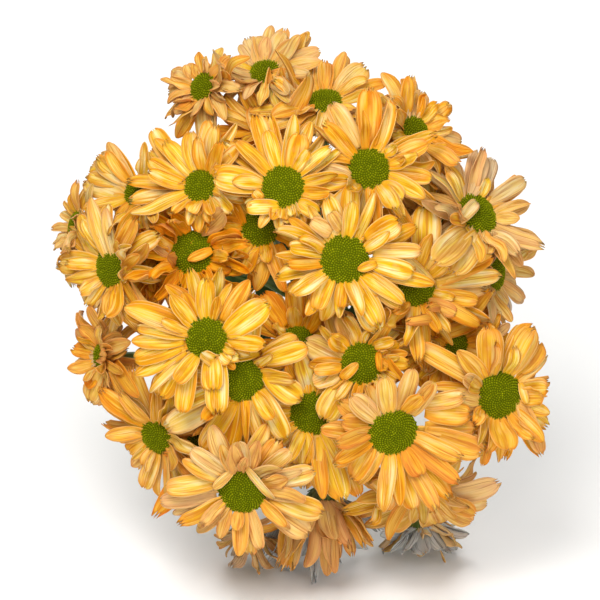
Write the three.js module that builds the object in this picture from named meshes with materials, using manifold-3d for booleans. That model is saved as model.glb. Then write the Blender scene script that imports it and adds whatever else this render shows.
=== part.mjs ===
// A bunch of seven cut spray chrysanthemums, lying on its side on a flat surface.
// Every stem forks into four to six flower stalks, and each stalk ends in a green
// flower head: a cup, a waist and a domed disc. A ring of petals sits round each
// waist. A band holds the seven stems, and lobed leaves stand on them behind the head.
//
// The bunch is drawn in its own frame first: X across, Y up and Z forward, along the
// stems, from the middle of the band to the front of the flowers. It is then laid down,
// so that two of its lowest flowers and its stem ends rest on the surface.

import * as THREE from "three";
import { mergeVertices } from "three/addons/utils/BufferGeometryUtils.js";
import Module from "manifold-3d";

const wasm = await Module();
wasm.setup();

// Driving dimensions, in millimetres and degrees
const FRONT = 215; // from the band to the foremost flower
const STEM_BELOW_BAND = 165;
const LEAN = 24.9; // of the stems above the surface: petals at the front and cut ends rest on it
const GAP = 0.35; // clearance between neighbouring pieces
const STEM_RADIUS = 2.9;
const STALK_RADIUS = 1.5;
const RING_OF_STEMS = 6.5; // radius on which six stems stand round the seventh
const PETAL_THICKNESS = 1.2;
const RISE = 0.3; // of open petals towards the front, for each millimetre outwards
const SIDE_BY_SIDE = 22; // the stems run parallel this far on each side of the band's middle
const BAND_WIDTH = 14;
const BAND_THICKNESS = 2;
const LEAF_THICKNESS = 0.9;

// One row per flower: across, up, how far it lies behind the foremost flower, the clock
// direction it leans to (0 is right, 90 is up), its lean from straight ahead, the radius
// of its disc, how far its petals reach past the disc and the stem that carries it. Where
// the petals fold forwards, the last number is their rise for each millimetre outwards.
const FLOWERS = [
  [-53, 114, 60, 150, 42, 8.5, 24, 3],
  [-19, 123, 58, 108, 42, 8.6, 26, 2],
  [13, 107, 44, 95, 48, 9.7, 25, 2],
  [62, 90, 42, 30, 42, 9.2, 27, 1],
  [36, 69, 14, 75, 15, 11.3, 26, 2],
  [-9, 59, 8, 110, 10, 11.6, 24, 2],
  [-53, 60, 22, 150, 24, 9.0, 26, 3],
  [-88, 58, 46, 160, 40, 8.0, 28, 3],
  [-102, 17, 42, 185, 45, 10.9, 27, 4],
  [-122, 40, 74, 168, 64, 8.5, 24, 4],
  [-57, 25, 28, 150, 15, 12.0, 23, 3],
  [-21, 38, 27, 200, 8, 10.7, 22, 7],
  [23, 21, 0, 20, 4, 13.0, 24, 7],
  [-49, -20, 8, 190, 14, 11.4, 24, 4],
  [-31, -42, 17, 250, 14, 12.1, 25, 5],
  [-30, -101, 22, 265, 22, 12.7, 25, 5],
  [48, -69, 6, 290, 20, 13.4, 29, 6],
  [105, -50, 22, 345, 22, 12.9, 26, 6],
  [31, -33, 16, 185, 18, 11.8, 20, 7],
  [6, -60, 27, 260, 15, 12.0, 23, 5],
  [-1, -21, 30, 90, 12, 8.5, 20, 7],
  [61, 7, 20, 40, 18, 10.4, 29, 1],
  [95, 47, 38, 40, 44, 12.2, 28, 1],
  [106, 15, 60, 0, 60, 11.0, 25, 1],
  [81, -23, 38, 0, 24, 9.5, 27, 6],
  [58, -20, 38, 180, 15, 8.0, 15, 6],
  [-77, -73, 46, 215, 38, 9.7, 28, 4],
  [-108, -30, 64, 180, 56, 6.5, 23, 4],
  [12, -110, 78, 270, 96, 9.5, 18, 5, 2],
  [64, -103, 50, 278, 60, 10.0, 28, 6],
  [-17, 92, 44, 100, 32, 9.0, 26, 2],
  [-28, -129, 98, 266, 98, 9.0, 18, 5, 0.9],
  [66, -125, 110, 276, 100, 9.0, 14, 6, 1.1],
  [-78, 20, 50, 165, 28, 8.0, 22, 3],
  [-54, -78, 46, 230, 32, 8.0, 24, 5],
  [70, 46, 50, 50, 34, 8.0, 26, 1],
].map(([x, y, back, clock, lean, disc, petal, stem, rise = RISE], i) => ({
  number: i + 1,
  centre: new THREE.Vector3(x, y, FRONT - back),
  facing: direction(clock, lean),
  disc,
  petal,
  stem,
  rise,
}));

// The stems by number: the clock direction of each round the band. The seventh is central.
const STEMS = [30, 90, 150, 210, 270, 330, null].map((clock, i) => ({
  number: i + 1,
  clock,
  flowers: FLOWERS.filter((f) => f.stem === i + 1),
}));

// Leaves: the stem, how far in front of the band it starts, how far it stands off the
// stem's own clock direction, its lean from the stem and its length.
const LEAVES = [
  [1, 16, 20, 58, 62],
  [1, 44, -30, 50, 50],
  [2, 22, -18, 55, 60],
  [2, 50, 24, 48, 48],
  [3, 14, 12, 60, 64],
  [3, 46, -24, 50, 50],
  [4, 20, -16, 56, 62],
  [4, 48, 26, 50, 48],
  [5, 18, 20, 52, 54],
  [5, 42, -26, 50, 46],
  [6, 24, -14, 56, 60],
  [6, 52, 28, 48, 50],
];

const PETAL_COLOUR = new THREE.MeshStandardMaterial({ color: 0xf0a53a, roughness: 0.7, metalness: 0 });
const GREEN = new THREE.MeshStandardMaterial({ color: 0x55701c, roughness: 0.65, metalness: 0 });
const LEAF_GREEN = new THREE.MeshStandardMaterial({ color: 0x3f6127, roughness: 0.6, metalness: 0 });
const BAND_COLOUR = new THREE.MeshStandardMaterial({ color: 0xb99a63, roughness: 0.8, metalness: 0 });

function direction(clock, lean) {
  const c = THREE.MathUtils.degToRad(clock);
  const l = THREE.MathUtils.degToRad(lean);
  return new THREE.Vector3(Math.sin(l) * Math.cos(c), Math.sin(l) * Math.sin(c), Math.cos(l));
}

// Frame whose Z axis points along the given direction
function frameAt(origin, zAxis) {
  const turn = new THREE.Quaternion().setFromUnitVectors(new THREE.Vector3(0, 0, 1), zAxis);
  return new THREE.Matrix4().compose(origin, turn, new THREE.Vector3(1, 1, 1));
}

function solidOf(geometry) {
  const bare = geometry.clone();
  bare.deleteAttribute("normal");
  bare.deleteAttribute("uv");
  const merged = mergeVertices(bare, 1e-4);
  return new wasm.Manifold(
    new wasm.Mesh({
      numProp: 3,
      vertProperties: new Float32Array(merged.attributes.position.array),
      triVerts: new Uint32Array(merged.index.array),
    }),
  );
}

function joined(solids) {
  return wasm.Manifold.union(solids);
}

function boxesMeet(a, b) {
  const p = a.boundingBox();
  const q = b.boundingBox();
  return [0, 1, 2].every((i) => p.min[i] < q.max[i] && q.min[i] < p.max[i]);
}

function cutBy(solid, cutters) {
  return cutters.filter((c) => boxesMeet(solid, c)).reduce((rest, c) => rest.subtract(c), solid);
}

// The largest part of a cut solid that still sits against its neighbour
function partAgainst(solid, neighbour) {
  const seated = solid.decompose().filter((part) => part.minGap(neighbour, 1) < 2 * GAP);
  return seated.sort((a, b) => b.volume() - a.volume())[0];
}

// Position of a stem's centre line, measured forward from the band
function stemPoint(stem, forward) {
  if (stem.clock === null) return new THREE.Vector3(0, 0, forward);
  const beyond = Math.max(0, Math.abs(forward) - SIDE_BY_SIDE);
  const spread = forward > 0 ? 30 * (beyond / 70) ** 1.5 : 9 * (beyond / STEM_BELOW_BAND) ** 1.4;
  return direction(stem.clock, 90).multiplyScalar(RING_OF_STEMS + spread).setZ(forward);
}

function polygon(sides, radius) {
  const corners = [];
  for (let k = 0; k < sides; k++) {
    const angle = (2 * Math.PI * k) / sides;
    corners.push(new THREE.Vector2(radius * Math.cos(angle), radius * Math.sin(angle)));
  }
  return corners;
}

function tube(curve, radius, sides, steps) {
  const section = new THREE.Shape(polygon(sides, radius));
  return solidOf(new THREE.ExtrudeGeometry(section, { extrudePath: curve, steps, bevelEnabled: false }));
}

// Levels of a flower head along its own axis, with the petal ring's middle at 0
const CUP_BOTTOM = -7;
const WAIST_SHARE = 0.74;
const WAIST_HALF_HEIGHT = 1;
const DOME_SHARE = 0.28;
const HEAD_SIDES = 8;

function headSolid(flower, grow) {
  const r = flower.disc;
  const waist = WAIST_SHARE * r + grow;
  const outline = [
    [0, CUP_BOTTOM - grow],
    [0.3 * r + grow, CUP_BOTTOM - grow],
    [0.85 * r + grow, -WAIST_HALF_HEIGHT + grow],
    [waist, -WAIST_HALF_HEIGHT + grow],
    [waist, WAIST_HALF_HEIGHT - grow],
    [r + grow, WAIST_HALF_HEIGHT - grow],
    [r + grow, 2 * WAIST_HALF_HEIGHT + grow],
    [0.6 * r + grow, WAIST_HALF_HEIGHT + 0.72 * DOME_SHARE * r + grow],
    [0, WAIST_HALF_HEIGHT + DOME_SHARE * r + grow],
  ];
  const shape = new THREE.LatheGeometry(outline.map((p) => new THREE.Vector2(...p)), HEAD_SIDES);
  shape.rotateX(Math.PI / 2);
  return solidOf(shape.applyMatrix4(headFrame(flower)));
}

// The petal ring's middle lies below the top of the disc, which is the flower's centre.
function headFrame(flower) {
  const domeTop = WAIST_HALF_HEIGHT + DOME_SHARE * flower.disc;
  return frameAt(flower.centre.clone().addScaledVector(flower.facing, -domeTop), flower.facing);
}

// Forks start low on the stem for outer flowers and high for inner ones.
const LOWEST_FORK = 34;
const FORK_STEP = 13;

function forkHeights(stem) {
  const reach = (f) => Math.hypot(f.centre.x, f.centre.y);
  const inward = [...stem.flowers].sort((a, b) => reach(b) - reach(a));
  return inward.map((flower, i) => ({ flower, fork: LOWEST_FORK + FORK_STEP * i }));
}

function stalkCurve(stem, flower, fork) {
  const start = stemPoint(stem, fork);
  const along = stemPoint(stem, fork + 1).sub(start);
  const end = new THREE.Vector3(0, 0, CUP_BOTTOM + 1).applyMatrix4(headFrame(flower));
  const span = start.distanceTo(end);
  return new THREE.CubicBezierCurve3(
    start,
    start.clone().addScaledVector(along.normalize(), 0.4 * span),
    end.clone().addScaledVector(flower.facing, -0.35 * span),
    end,
  );
}

function stemSolid(stem, grow) {
  const forks = forkHeights(stem);
  const top = forks.at(-1).fork;
  const levels = [-STEM_BELOW_BAND, -0.5 * STEM_BELOW_BAND, -SIDE_BY_SIDE, SIDE_BY_SIDE, 0.6 * top, top];
  const mainLine = new THREE.CatmullRomCurve3(levels.map((f) => stemPoint(stem, f)));
  const pieces = [tube(mainLine, STEM_RADIUS + grow, 7, 10)];
  for (const { flower, fork } of forks) {
    pieces.push(tube(stalkCurve(stem, flower, fork), STALK_RADIUS + grow, 5, 5));
    pieces.push(headSolid(flower, grow));
  }
  return joined(pieces);
}

// A ring of petals drawn flat as a lobed outline with a round hole, then raised
// towards the tips and turned down again at their ends.
const LOBES = 9;
const LOBE_HALF_WIDTH = 0.26; // share of the angle between two lobes
const FALL = 0.22;

function petalRing(flower, grow) {
  const { disc, petal } = flower;
  const pitch = (2 * Math.PI) / LOBES;
  const outline = [];
  for (let k = 0; k < LOBES; k++) {
    for (const [turn, reach] of [[-0.5, 0.5], [-LOBE_HALF_WIDTH, 1], [LOBE_HALF_WIDTH, 1]]) {
      const radius = disc + reach * petal + grow;
      const angle = (k + turn) * pitch;
      outline.push(new THREE.Vector2(radius * Math.cos(angle), radius * Math.sin(angle)));
    }
  }
  const shape = new THREE.Shape(outline);
  shape.holes.push(new THREE.Path(polygon(HEAD_SIDES, 0.6 * disc)));
  const thickness = PETAL_THICKNESS + 2 * grow;
  const ring = new THREE.ExtrudeGeometry(shape, { depth: thickness, bevelEnabled: false });
  ring.translate(0, 0, -thickness / 2);
  const spots = ring.attributes.position;
  for (let i = 0; i < spots.count; i++) {
    const out = Math.max(0, Math.hypot(spots.getX(i), spots.getY(i)) - disc);
    spots.setZ(i, spots.getZ(i) + flower.rise * out - (FALL * out * out) / petal);
  }
  return solidOf(ring.applyMatrix4(headFrame(flower)));
}

// A chrysanthemum leaf: a short stalk, then lobes that grow towards the middle
const LEAF_OUTLINE = [
  [0, 0.02], [0.16, 0.03], [0.24, 0.13], [0.31, 0.12], [0.34, 0.07], [0.42, 0.2], [0.52, 0.25],
  [0.58, 0.19], [0.58, 0.11], [0.7, 0.2], [0.8, 0.19], [0.82, 0.1], [0.92, 0.08],
];

function leafSolid([stemNumber, forward, turn, lean, length]) {
  const stem = STEMS[stemNumber - 1];
  const foot = stemPoint(stem, forward);
  const outward = direction(stem.clock + turn, lean);
  const upper = LEAF_OUTLINE.map(([x, y]) => new THREE.Vector2(x * length, y * length));
  const lower = [...LEAF_OUTLINE].reverse().map(([x, y]) => new THREE.Vector2(x * length, -y * length));
  const shape = new THREE.Shape([...upper, new THREE.Vector2(length, 0), ...lower]);
  const blade = new THREE.ExtrudeGeometry(shape, { depth: LEAF_THICKNESS, bevelEnabled: false });
  blade.translate(0, 0, -LEAF_THICKNESS / 2);
  const across = new THREE.Vector3().crossVectors(new THREE.Vector3(0, 0, 1), outward).normalize();
  const face = new THREE.Vector3().crossVectors(outward, across);
  return solidOf(blade.applyMatrix4(new THREE.Matrix4().makeBasis(outward, across, face).setPosition(foot)));
}

function bandSolid() {
  const inner = RING_OF_STEMS + STEM_RADIUS + 1.5 * GAP;
  const half = BAND_WIDTH / 2;
  const profile = [
    [inner, -half], [inner + BAND_THICKNESS, -half], [inner + BAND_THICKNESS, half], [inner, half], [inner, -half],
  ];
  const band = new THREE.LatheGeometry(profile.map((p) => new THREE.Vector2(...p)), 24);
  return solidOf(band.rotateX(Math.PI / 2));
}

function meshOf(name, solid, material) {
  const { vertProperties, triVerts } = solid.getMesh();
  const geometry = new THREE.BufferGeometry();
  geometry.setAttribute("position", new THREE.BufferAttribute(new Float32Array(vertProperties), 3));
  geometry.setIndex(new THREE.BufferAttribute(new Uint32Array(triVerts), 1));
  geometry.computeVertexNormals();
  const mesh = new THREE.Mesh(geometry, material);
  mesh.name = name;
  return mesh;
}

function twoDigits(number) {
  return String(number).padStart(2, "0");
}

const stems = STEMS.map((stem) => stemSolid(stem, 0));
const stemCutters = STEMS.map((stem) => stemSolid(stem, GAP));

// Front flowers keep their petals whole, and those behind are cut back from them.
const placedRings = [];
const rings = new Map();
for (const flower of [...FLOWERS].sort((a, b) => b.centre.z - a.centre.z)) {
  const cut = cutBy(petalRing(flower, 0), [...stemCutters, ...placedRings]);
  rings.set(flower, partAgainst(cut, stems[flower.stem - 1]));
  placedRings.push(petalRing(flower, GAP));
}

const placedLeaves = [];
for (const leaf of LEAVES) {
  const cut = cutBy(leafSolid(leaf), [...stemCutters, ...placedRings, ...placedLeaves]);
  placedLeaves.push(partAgainst(cut, stems[leaf[0] - 1]));
}

const pieces = [
  ...STEMS.map((stem, i) => [`spray_stem_${stem.number}`, stems[i], GREEN]),
  ...FLOWERS.map((flower) => [`petals_${twoDigits(flower.number)}`, rings.get(flower), PETAL_COLOUR]),
  ...placedLeaves.map((leaf, i) => [`leaf_${twoDigits(i + 1)}`, leaf, LEAF_GREEN]),
  ["stem_band", bandSolid(), BAND_COLOUR],
];

const bunch = new THREE.Group();
bunch.name = "chrysanthemum_bunch";
const leaned = new THREE.Group();
for (const [name, solid, material] of pieces) leaned.add(meshOf(name, solid, material));
leaned.rotation.x = THREE.MathUtils.degToRad(90 - LEAN);
bunch.add(leaned);

// The part's origin is the middle of its footprint, on the surface.
bunch.updateMatrixWorld(true);
const box = new THREE.Box3().setFromObject(leaned, true);
leaned.position.set(-(box.min.x + box.max.x) / 2, -(box.min.y + box.max.y) / 2, -box.min.z);

export default bunch;
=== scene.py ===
# %% [markdown]
# # A bunch of spray chrysanthemums
# The bunch lies on a pale floor, flowers towards us and stems leaning away behind them.
# Each flower has a domed green disc of tightly packed florets, rows of ray petals round
# it and a scaly green cup behind it. The flowers stand on forked stems, held by twine.
# Five petal outlines, one floret, one scale and one leaf are modelled one by one, and code then bends, turns and copies
# them, because no two petals of a real flower match.

# %% [markdown]
# ## The frame
# The imported model gives every stem, ring of petals, leaf and the band at its real size.
# It is loaded first.

import bpy
import math
import numpy as np
from mathutils import Matrix, Vector
from mathutils.bvhtree import BVHTree


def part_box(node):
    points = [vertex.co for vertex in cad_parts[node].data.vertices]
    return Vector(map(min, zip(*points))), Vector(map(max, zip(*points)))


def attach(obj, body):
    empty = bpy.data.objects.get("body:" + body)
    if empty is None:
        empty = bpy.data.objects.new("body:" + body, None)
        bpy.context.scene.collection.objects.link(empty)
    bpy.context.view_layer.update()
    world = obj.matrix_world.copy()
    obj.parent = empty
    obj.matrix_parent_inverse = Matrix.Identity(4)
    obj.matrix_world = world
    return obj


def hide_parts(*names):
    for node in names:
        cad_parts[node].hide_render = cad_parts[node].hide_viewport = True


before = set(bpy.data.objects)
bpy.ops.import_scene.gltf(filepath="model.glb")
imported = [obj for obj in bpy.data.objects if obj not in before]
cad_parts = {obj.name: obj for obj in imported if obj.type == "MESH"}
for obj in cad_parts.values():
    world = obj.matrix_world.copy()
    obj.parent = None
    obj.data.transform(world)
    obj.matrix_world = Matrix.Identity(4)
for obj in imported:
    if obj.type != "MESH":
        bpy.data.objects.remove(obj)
bpy.context.view_layer.update()
CHANCE = np.random.default_rng(25)

# %% [markdown]
# ## The bunch's own frame
# Flowers are easier to place in a frame that follows the bunch: X across, Y up and Z
# forwards along the stems, in millimetres from the middle of the band. One matrix lays
# that frame down at the lean of the bunch and turns millimetres into metres.

# %% Bunch frame
MM = 0.001
LEAN = math.radians(24.9)  # of the stems, above the floor
FRONT = 215.0  # how far in front of the band the foremost disc is
low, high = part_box("stem_band")
BAND_MIDDLE = (low + high) / 2
TO_FLOOR = Matrix.Translation(BAND_MIDDLE) @ Matrix.Rotation(math.pi / 2 - LEAN, 4, "X") @ Matrix.Scale(MM, 4)
print("band's middle", [round(v, 4) for v in BAND_MIDDLE])

# %% [markdown]
# ## The flowers
# One row for each flower, in millimetres and degrees: across, up, how far it lies behind the foremost flower, the
# direction it leans to, counted from X towards Y, its lean, the radius of its disc, the reach of its petals, the number
# of petals, how untidy they are, how deep their orange is, which for the flowers sunk among the others is partly
# painted shade, and how grey their backs are, which for the flowers that turn away or lie low is partly painted shade.

# %% Flowers
FLOWERS = [
    (-53, 114, 60, 150, 42, 8.5, 22, 28, 0.96, 0.45, 0.62),
    (-19, 123, 58, 108, 42, 8.6, 26, 28, 0.75, 0.15, 0.72),
    (13, 107, 44, 95, 48, 9.7, 25, 25, 0.63, 0.35, 0.42),
    (62, 90, 42, 30, 42, 9.2, 27, 25, 1.07, 0.4, 0.3),
    (36, 69, 14, 75, 15, 11.3, 26, 27, 0.74, 0.35, 0.2),
    (-9, 59, 8, 110, 10, 11.6, 24, 28, 0.52, 0.25, 0.1),
    (-53, 60, 22, 150, 24, 9, 26, 27, 0.52, 0.35, 0.2),
    (-88, 58, 46, 160, 40, 8, 28, 25, 0.74, 0.25, 0.3),
    (-102, 17, 42, 185, 45, 10.9, 27, 27, 0.85, 0.3, 0.3),
    (-122, 40, 74, 168, 64, 8.5, 24, 23, 0.85, 0.3, 0.6),
    (-57, 25, 28, 150, 15, 12, 23, 26, 1.18, 0.9, 0.05),
    (-21, 38, 27, 200, 8, 10.7, 22, 25, 0.96, 0.65, 0.1),
    (23, 21, 0, 20, 4, 13, 24, 31, 0.47, 0.2, 0),
    (-49, -20, 8, 190, 14, 11.4, 24, 30, 0.63, 0.25, 0.1),
    (-31, -42, 17, 250, 14, 12.1, 25, 27, 0.63, 0.3, 0.1),
    (-30, -101, 22, 265, 22, 12.7, 25, 30, 0.8, 0.5, 0.62),
    (48, -69, 6, 290, 20, 13.4, 29, 30, 0.58, 0.5, 0.38),
    (105, -50, 22, 345, 22, 12.9, 26, 28, 0.74, 0.4, 0.3),
    (31, -33, 16, 185, 18, 11.8, 20, 27, 0.96, 0.45, 0.2),
    (6, -60, 27, 260, 15, 12, 23, 26, 0.74, 0.4, 0.2),
    (-1, -21, 30, 90, 12, 8.5, 20, 23, 0.85, 0.8, 0.05),
    (61, 7, 20, 40, 18, 10.4, 29, 27, 0.96, 0.5, 0.2),
    (95, 47, 38, 40, 44, 12.2, 28, 29, 0.74, 0.3, 0.75),
    (106, 15, 60, 0, 60, 11, 25, 27, 0.85, 0.3, 0.75),
    (81, -23, 38, 0, 24, 9.5, 27, 25, 1.07, 0.8, 0.15),
    (58, -20, 38, 180, 15, 8, 15, 23, 1.18, 0.95, 0.05),
    (-77, -73, 46, 215, 38, 9.7, 28, 26, 0.74, 0.45, 0.4),
    (-108, -30, 64, 180, 56, 6.5, 23, 30, 1, 0.6, 0.45),
    (12, -110, 78, 270, 96, 9.5, 18, 28, 0.74, 0.6, 0.5),
    (64, -103, 50, 278, 60, 10, 28, 32, 0.96, 0.35, 0.5),
    (-17, 92, 44, 100, 32, 9, 26, 25, 0.96, 0.6, 0.3),
    (-28, -129, 98, 266, 98, 9, 18, 23, 0.74, 0.4, 1),
    (66, -125, 110, 276, 100, 9, 14, 23, 0.74, 0.1, 1.35),
    (-78, 20, 50, 165, 28, 8, 22, 30, 1.3, 0.95, 0.1),
    (-54, -78, 46, 230, 32, 8, 24, 30, 1.18, 0.85, 0.3),
    (70, 46, 50, 50, 34, 8, 26, 30, 1.18, 0.5, 0.5),
]
USUAL_RISE = 0.3
BELLS = {29: 2.0, 32: 0.9, 33: 1.1}  # the rise of the flowers that are still closed or hang like a bell
print(len(FLOWERS), "flowers,", len(BELLS), "of them bells")

# %% [markdown]
# ## The outline of the head
# The eye knows a bunch by its outline, so the petal tips that make it are listed by the
# flower's number, as across and up. The whole outline keeps the other petals in, and
# where a neighbour leaves no room, a flower has a side of short petals.

# %% Tips and outline
TIPS = {
    1: [(-70, 109), (-69, 119), (-52, 128), (-41, 131), (-26, 127), (-72, 97)],
    2: [(-31, 137), (-22, 142), (-16, 146), (-8, 145), (5, 142)],
    3: [(5, 126), (16, 125), (23, 132), (34, 125)],
    4: [(59, 118), (43, 120), (79, 103), (85, 85), (91, 78)],
    5: [(36, 110), (16, 102), (20, 64)],
    6: [(-45, 69), (-42, 58), (-39, 82), (-16, 96), (-3, 96), (6, 93), (16, 79), (-28, 49)],
    7: [(-90, 62), (-89, 52), (-88, 45), (-79, 73), (-57, 88)],
    8: [(-115, 63), (-107, 76), (-101, 83), (-120, 58)],
    9: [(-132, 18), (-112, 52), (-101, 50), (-113, -3), (-107, -10)],
    13: [(-13, 35), (-13, 23), (-12, 12), (-6, 4), (3, -8), (20, -8), (40, -13), (53, -2), (60, 16), (60, 38),
         (50, 43)],
    14: [(-91, -4), (-84, -14), (-86, -31), (-57, 16), (-78, -48), (-48, -47), (-43, -59), (-37, 1), (-16, -3),
         (-18, -23)],
    15: [(-2, -19), (4, -24), (1, -51), (-11, -73), (-15, -79), (-26, -80)],
    16: [(-70, -96), (-63, -117), (-54, -122), (-32, -134), (-26, -134), (3, -104)],
    17: [(11, -67), (44, -40), (58, -36), (68, -43), (96, -76), (82, -94), (78, -103), (43, -110), (52, -107),
         (71, -109)],
    18: [(97, -14), (121, -14), (126, -81), (104, -85), (95, -86), (86, -44)],
    19: [(10, -58)],
    20: [(1, -86), (12, -104), (22, -100), (28, -90)],
    22: [(100, 23), (62, 50), (75, 48), (105, 12)],
    23: [(94, 78), (101, 74), (119, 65), (122, 51), (127, 32), (128, 28)],
    24: [(126, 13), (120, -1), (112, -6)],
    25: [(92, -13)],
    27: [(-106, -66), (-104, -72), (-88, -91), (-83, -100), (-74, -105)],
    28: [(-118, -5), (-120, -16), (-120, -24), (-120, -35), (-113, -55), (-105, -55)],
}
HEAD_OUTLINE = [
    (-16, 147), (6, 143), (12, 133), (24, 133), (44, 121), (60, 119), (62, 108), (66, 98), (72, 95), (75, 102),
    (80, 105), (81, 98), (78, 91), (86, 87), (96, 80), (100, 76), (103, 66), (107, 63), (118, 66), (120, 63),
    (113, 55), (121, 51), (122, 48), (111, 41), (120, 37), (129, 28), (128, 24), (119, 20), (125, 15), (124, 12),
    (117, 9), (119, 0), (121, -2), (110, -4), (107, -8), (111, -13), (122, -13), (133, -21), (133, -69), (126, -82),
    (104, -86), (96, -88), (88, -82), (84, -84), (85, -91), (93, -94), (103, -94), (102, -110), (90, -125), (68, -136),
    (37, -142), (22, -147), (10, -146), (-31, -135), (-55, -123), (-64, -118), (-75, -106), (-78, -100), (-86, -88),
    (-89, -81), (-95, -74), (-106, -72), (-106, -67), (-100, -62), (-98, -58), (-104, -56), (-113, -55), (-121, -36),
    (-122, -16), (-119, -4), (-120, 2), (-132, 11), (-132, 48), (-117, 47), (-119, 58), (-116, 64), (-107, 77),
    (-102, 84), (-94, 78), (-87, 74), (-80, 78), (-78, 87), (-74, 90), (-59, 90), (-73, 96), (-71, 112), (-69, 121),
    (-52, 129), (-32, 138),
]
# flower, from and to in degrees round its disc, and the share of the reach left there
SHORT_SIDES = [
    (6, -160, -20, 0.6), (7, -150, -30, 0.62), (8, 50, 100, 0.7), (14, -72, 14, 0.62), (17, 95, 165, 0.72),
    (17, 165, 245, 0.84), (19, -60, 40, 0.8), (29, -50, 60, 0.8), (30, 15, 60, 0.75), (16, 245, 290, 0.85),
    (30, 225, 300, 0.72), (32, 100, 300, 0.55),
]
print(sum(len(tips) for tips in TIPS.values()), "tips,", len(HEAD_OUTLINE), "outline points")

# %% [markdown]
# ## A flower's own frame
# Petals and florets are set out round a flower that faces straight up, and one matrix
# then leans the whole flower. The class also tells where in the flower's own plane a
# point lies that is seen from the front.

# %% Flower frames
DOME_SHARE = 0.28  # height of the dome, by the disc's radius
RIM_HEIGHT = 1.0


class Flower:
    """Where a flower stands, how it leans, and the measures of its disc and petals."""

    def __init__(self, number, row):
        x, y, back, clock, lean, self.disc, self.reach, self.petals, self.mess, self.warmth, self.dull = row
        self.number = number
        self.rise = BELLS.get(number, USUAL_RISE)
        self.centre = Vector((x, y, FRONT - back))
        clock, lean = math.radians(clock), math.radians(lean)
        self.facing = Vector((math.sin(lean) * math.cos(clock), math.sin(lean) * math.sin(clock), math.cos(lean)))
        self.dome = DOME_SHARE * self.disc
        self.turn = Vector((0, 0, 1)).rotation_difference(self.facing).to_matrix()
        self.foot = self.centre - self.facing * (RIM_HEIGHT + self.dome)
        self.viewer = self.turn.transposed() @ Vector((0, 0, 1))
        self.lean = math.degrees(lean)
        self.frame = Matrix.Translation(self.foot) @ self.turn.to_4x4()

    def in_plane(self, point, height=0.0):
        """The place in the flower's own plane of a point seen here, at a height over that plane."""
        dx = point[0] - self.centre.x - height * self.facing.x
        dy = point[1] - self.centre.y - height * self.facing.y
        dz = -(dx * self.facing.x + dy * self.facing.y) / self.facing.z
        return (self.turn.transposed() @ Vector((dx, dy, dz))).xy

    def turn_and_reach(self, tip):
        """The turn and reach of a petal whose raised tip is seen here."""
        flat = self.in_plane(tip, 0.15 * self.in_plane(tip).length)
        return math.atan2(flat.y, flat.x), flat.length


HEADS = [Flower(k + 1, row) for k, row in enumerate(FLOWERS)]
print("discs from", min(f.disc for f in HEADS), "to", max(f.disc for f in HEADS), "mm in radius")

# %% [markdown]
# ## Helpers for modelling
# Operators act on everything that is selected, so each new piece starts from nothing
# selected. Vertices are then picked in code, by their place, and moved with the usual
# transform operators.

# %% Modelling helpers
def nothing_selected():
    if bpy.context.mode != "OBJECT":
        bpy.ops.object.mode_set(mode="OBJECT")
    bpy.ops.object.select_all(action="DESELECT")


def pick(piece, test):
    """Selects the vertices of the piece in edit mode whose place passes the test."""
    bpy.ops.object.mode_set(mode="OBJECT")
    chosen = [bool(test(v.co)) for v in piece.data.vertices]
    piece.data.vertices.foreach_set("select", chosen)
    piece.data.edges.foreach_set("select", [chosen[a] and chosen[b] for a, b in (e.vertices for e in piece.data.edges)])
    piece.data.polygons.foreach_set("select", [all(chosen[v] for v in p.vertices) for p in piece.data.polygons])
    bpy.ops.object.mode_set(mode="EDIT")
    return sum(chosen)


def thickened(piece, thickness):
    """A flat piece gets a real thickness, half of it on each side."""
    bpy.ops.object.mode_set(mode="OBJECT")
    shell = piece.modifiers.new("thickness", "SOLIDIFY")
    shell.thickness = thickness
    shell.offset = 0
    bpy.ops.object.modifier_apply(modifier=shell.name)


def taken_as_arrays(piece):
    """Points and faces of a finished master, which then leaves the scene."""
    nothing_selected()
    points = np.array([(piece.matrix_world @ v.co)[:] for v in piece.data.vertices])
    faces = [tuple(p.vertices) for p in piece.data.polygons]
    bpy.data.objects.remove(piece)
    return points, faces


def placed(points, matrix):
    """Points moved by a 4 x 4 matrix."""
    m = np.array(matrix)
    return points @ m[:3, :3].T + m[:3, 3]


def new_piece(name, points, faces, material, attributes=None, uv=None):
    """A mesh object from points in the bunch's own frame, with its UV and the values on its points."""
    mesh = bpy.data.meshes.new(name)
    mesh.from_pydata(placed(points, TO_FLOOR).tolist(), [], faces)
    for key, values in (attributes or {}).items():
        layer = mesh.attributes.new(key, "FLOAT", "POINT")
        layer.data.foreach_set("value", np.ascontiguousarray(values, dtype=np.float32))
    if uv is not None:
        corners = np.empty(len(mesh.loops), dtype=np.int32)
        mesh.loops.foreach_get("vertex_index", corners)
        mesh.uv_layers.new(name="Surface").data.foreach_set("uv", uv[corners].astype(np.float32).ravel())
    mesh.polygons.foreach_set("use_smooth", [True] * len(mesh.polygons))
    mesh.materials.append(material)
    mesh.update()
    piece = bpy.data.objects.new(name, mesh)
    bpy.context.scene.collection.objects.link(piece)
    return piece


def ring_faces(rings, sides):
    """Faces between rings of points that follow each other."""
    return [
        (sides * i + j, sides * i + (j + 1) % sides, sides * (i + 1) + (j + 1) % sides, sides * (i + 1) + j)
        for i in range(rings - 1)
        for j in range(sides)
    ]


def joined(parts):
    """Several (points, faces) as one pair."""
    points, faces, start = [], [], 0
    for part_points, part_faces in parts:
        points.append(part_points)
        faces.extend(tuple(v + start for v in face) for face in part_faces)
        start += len(part_points)
    return np.vstack(points), faces


# %% [markdown]
# ## Materials
# Every finish here is a pattern of soft lines and patches, so one small class holds the
# few nodes they need, and each finish can be read from top to bottom like a recipe.
# Patterns that follow a surface read its UV map. Others read the place on the object.

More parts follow.
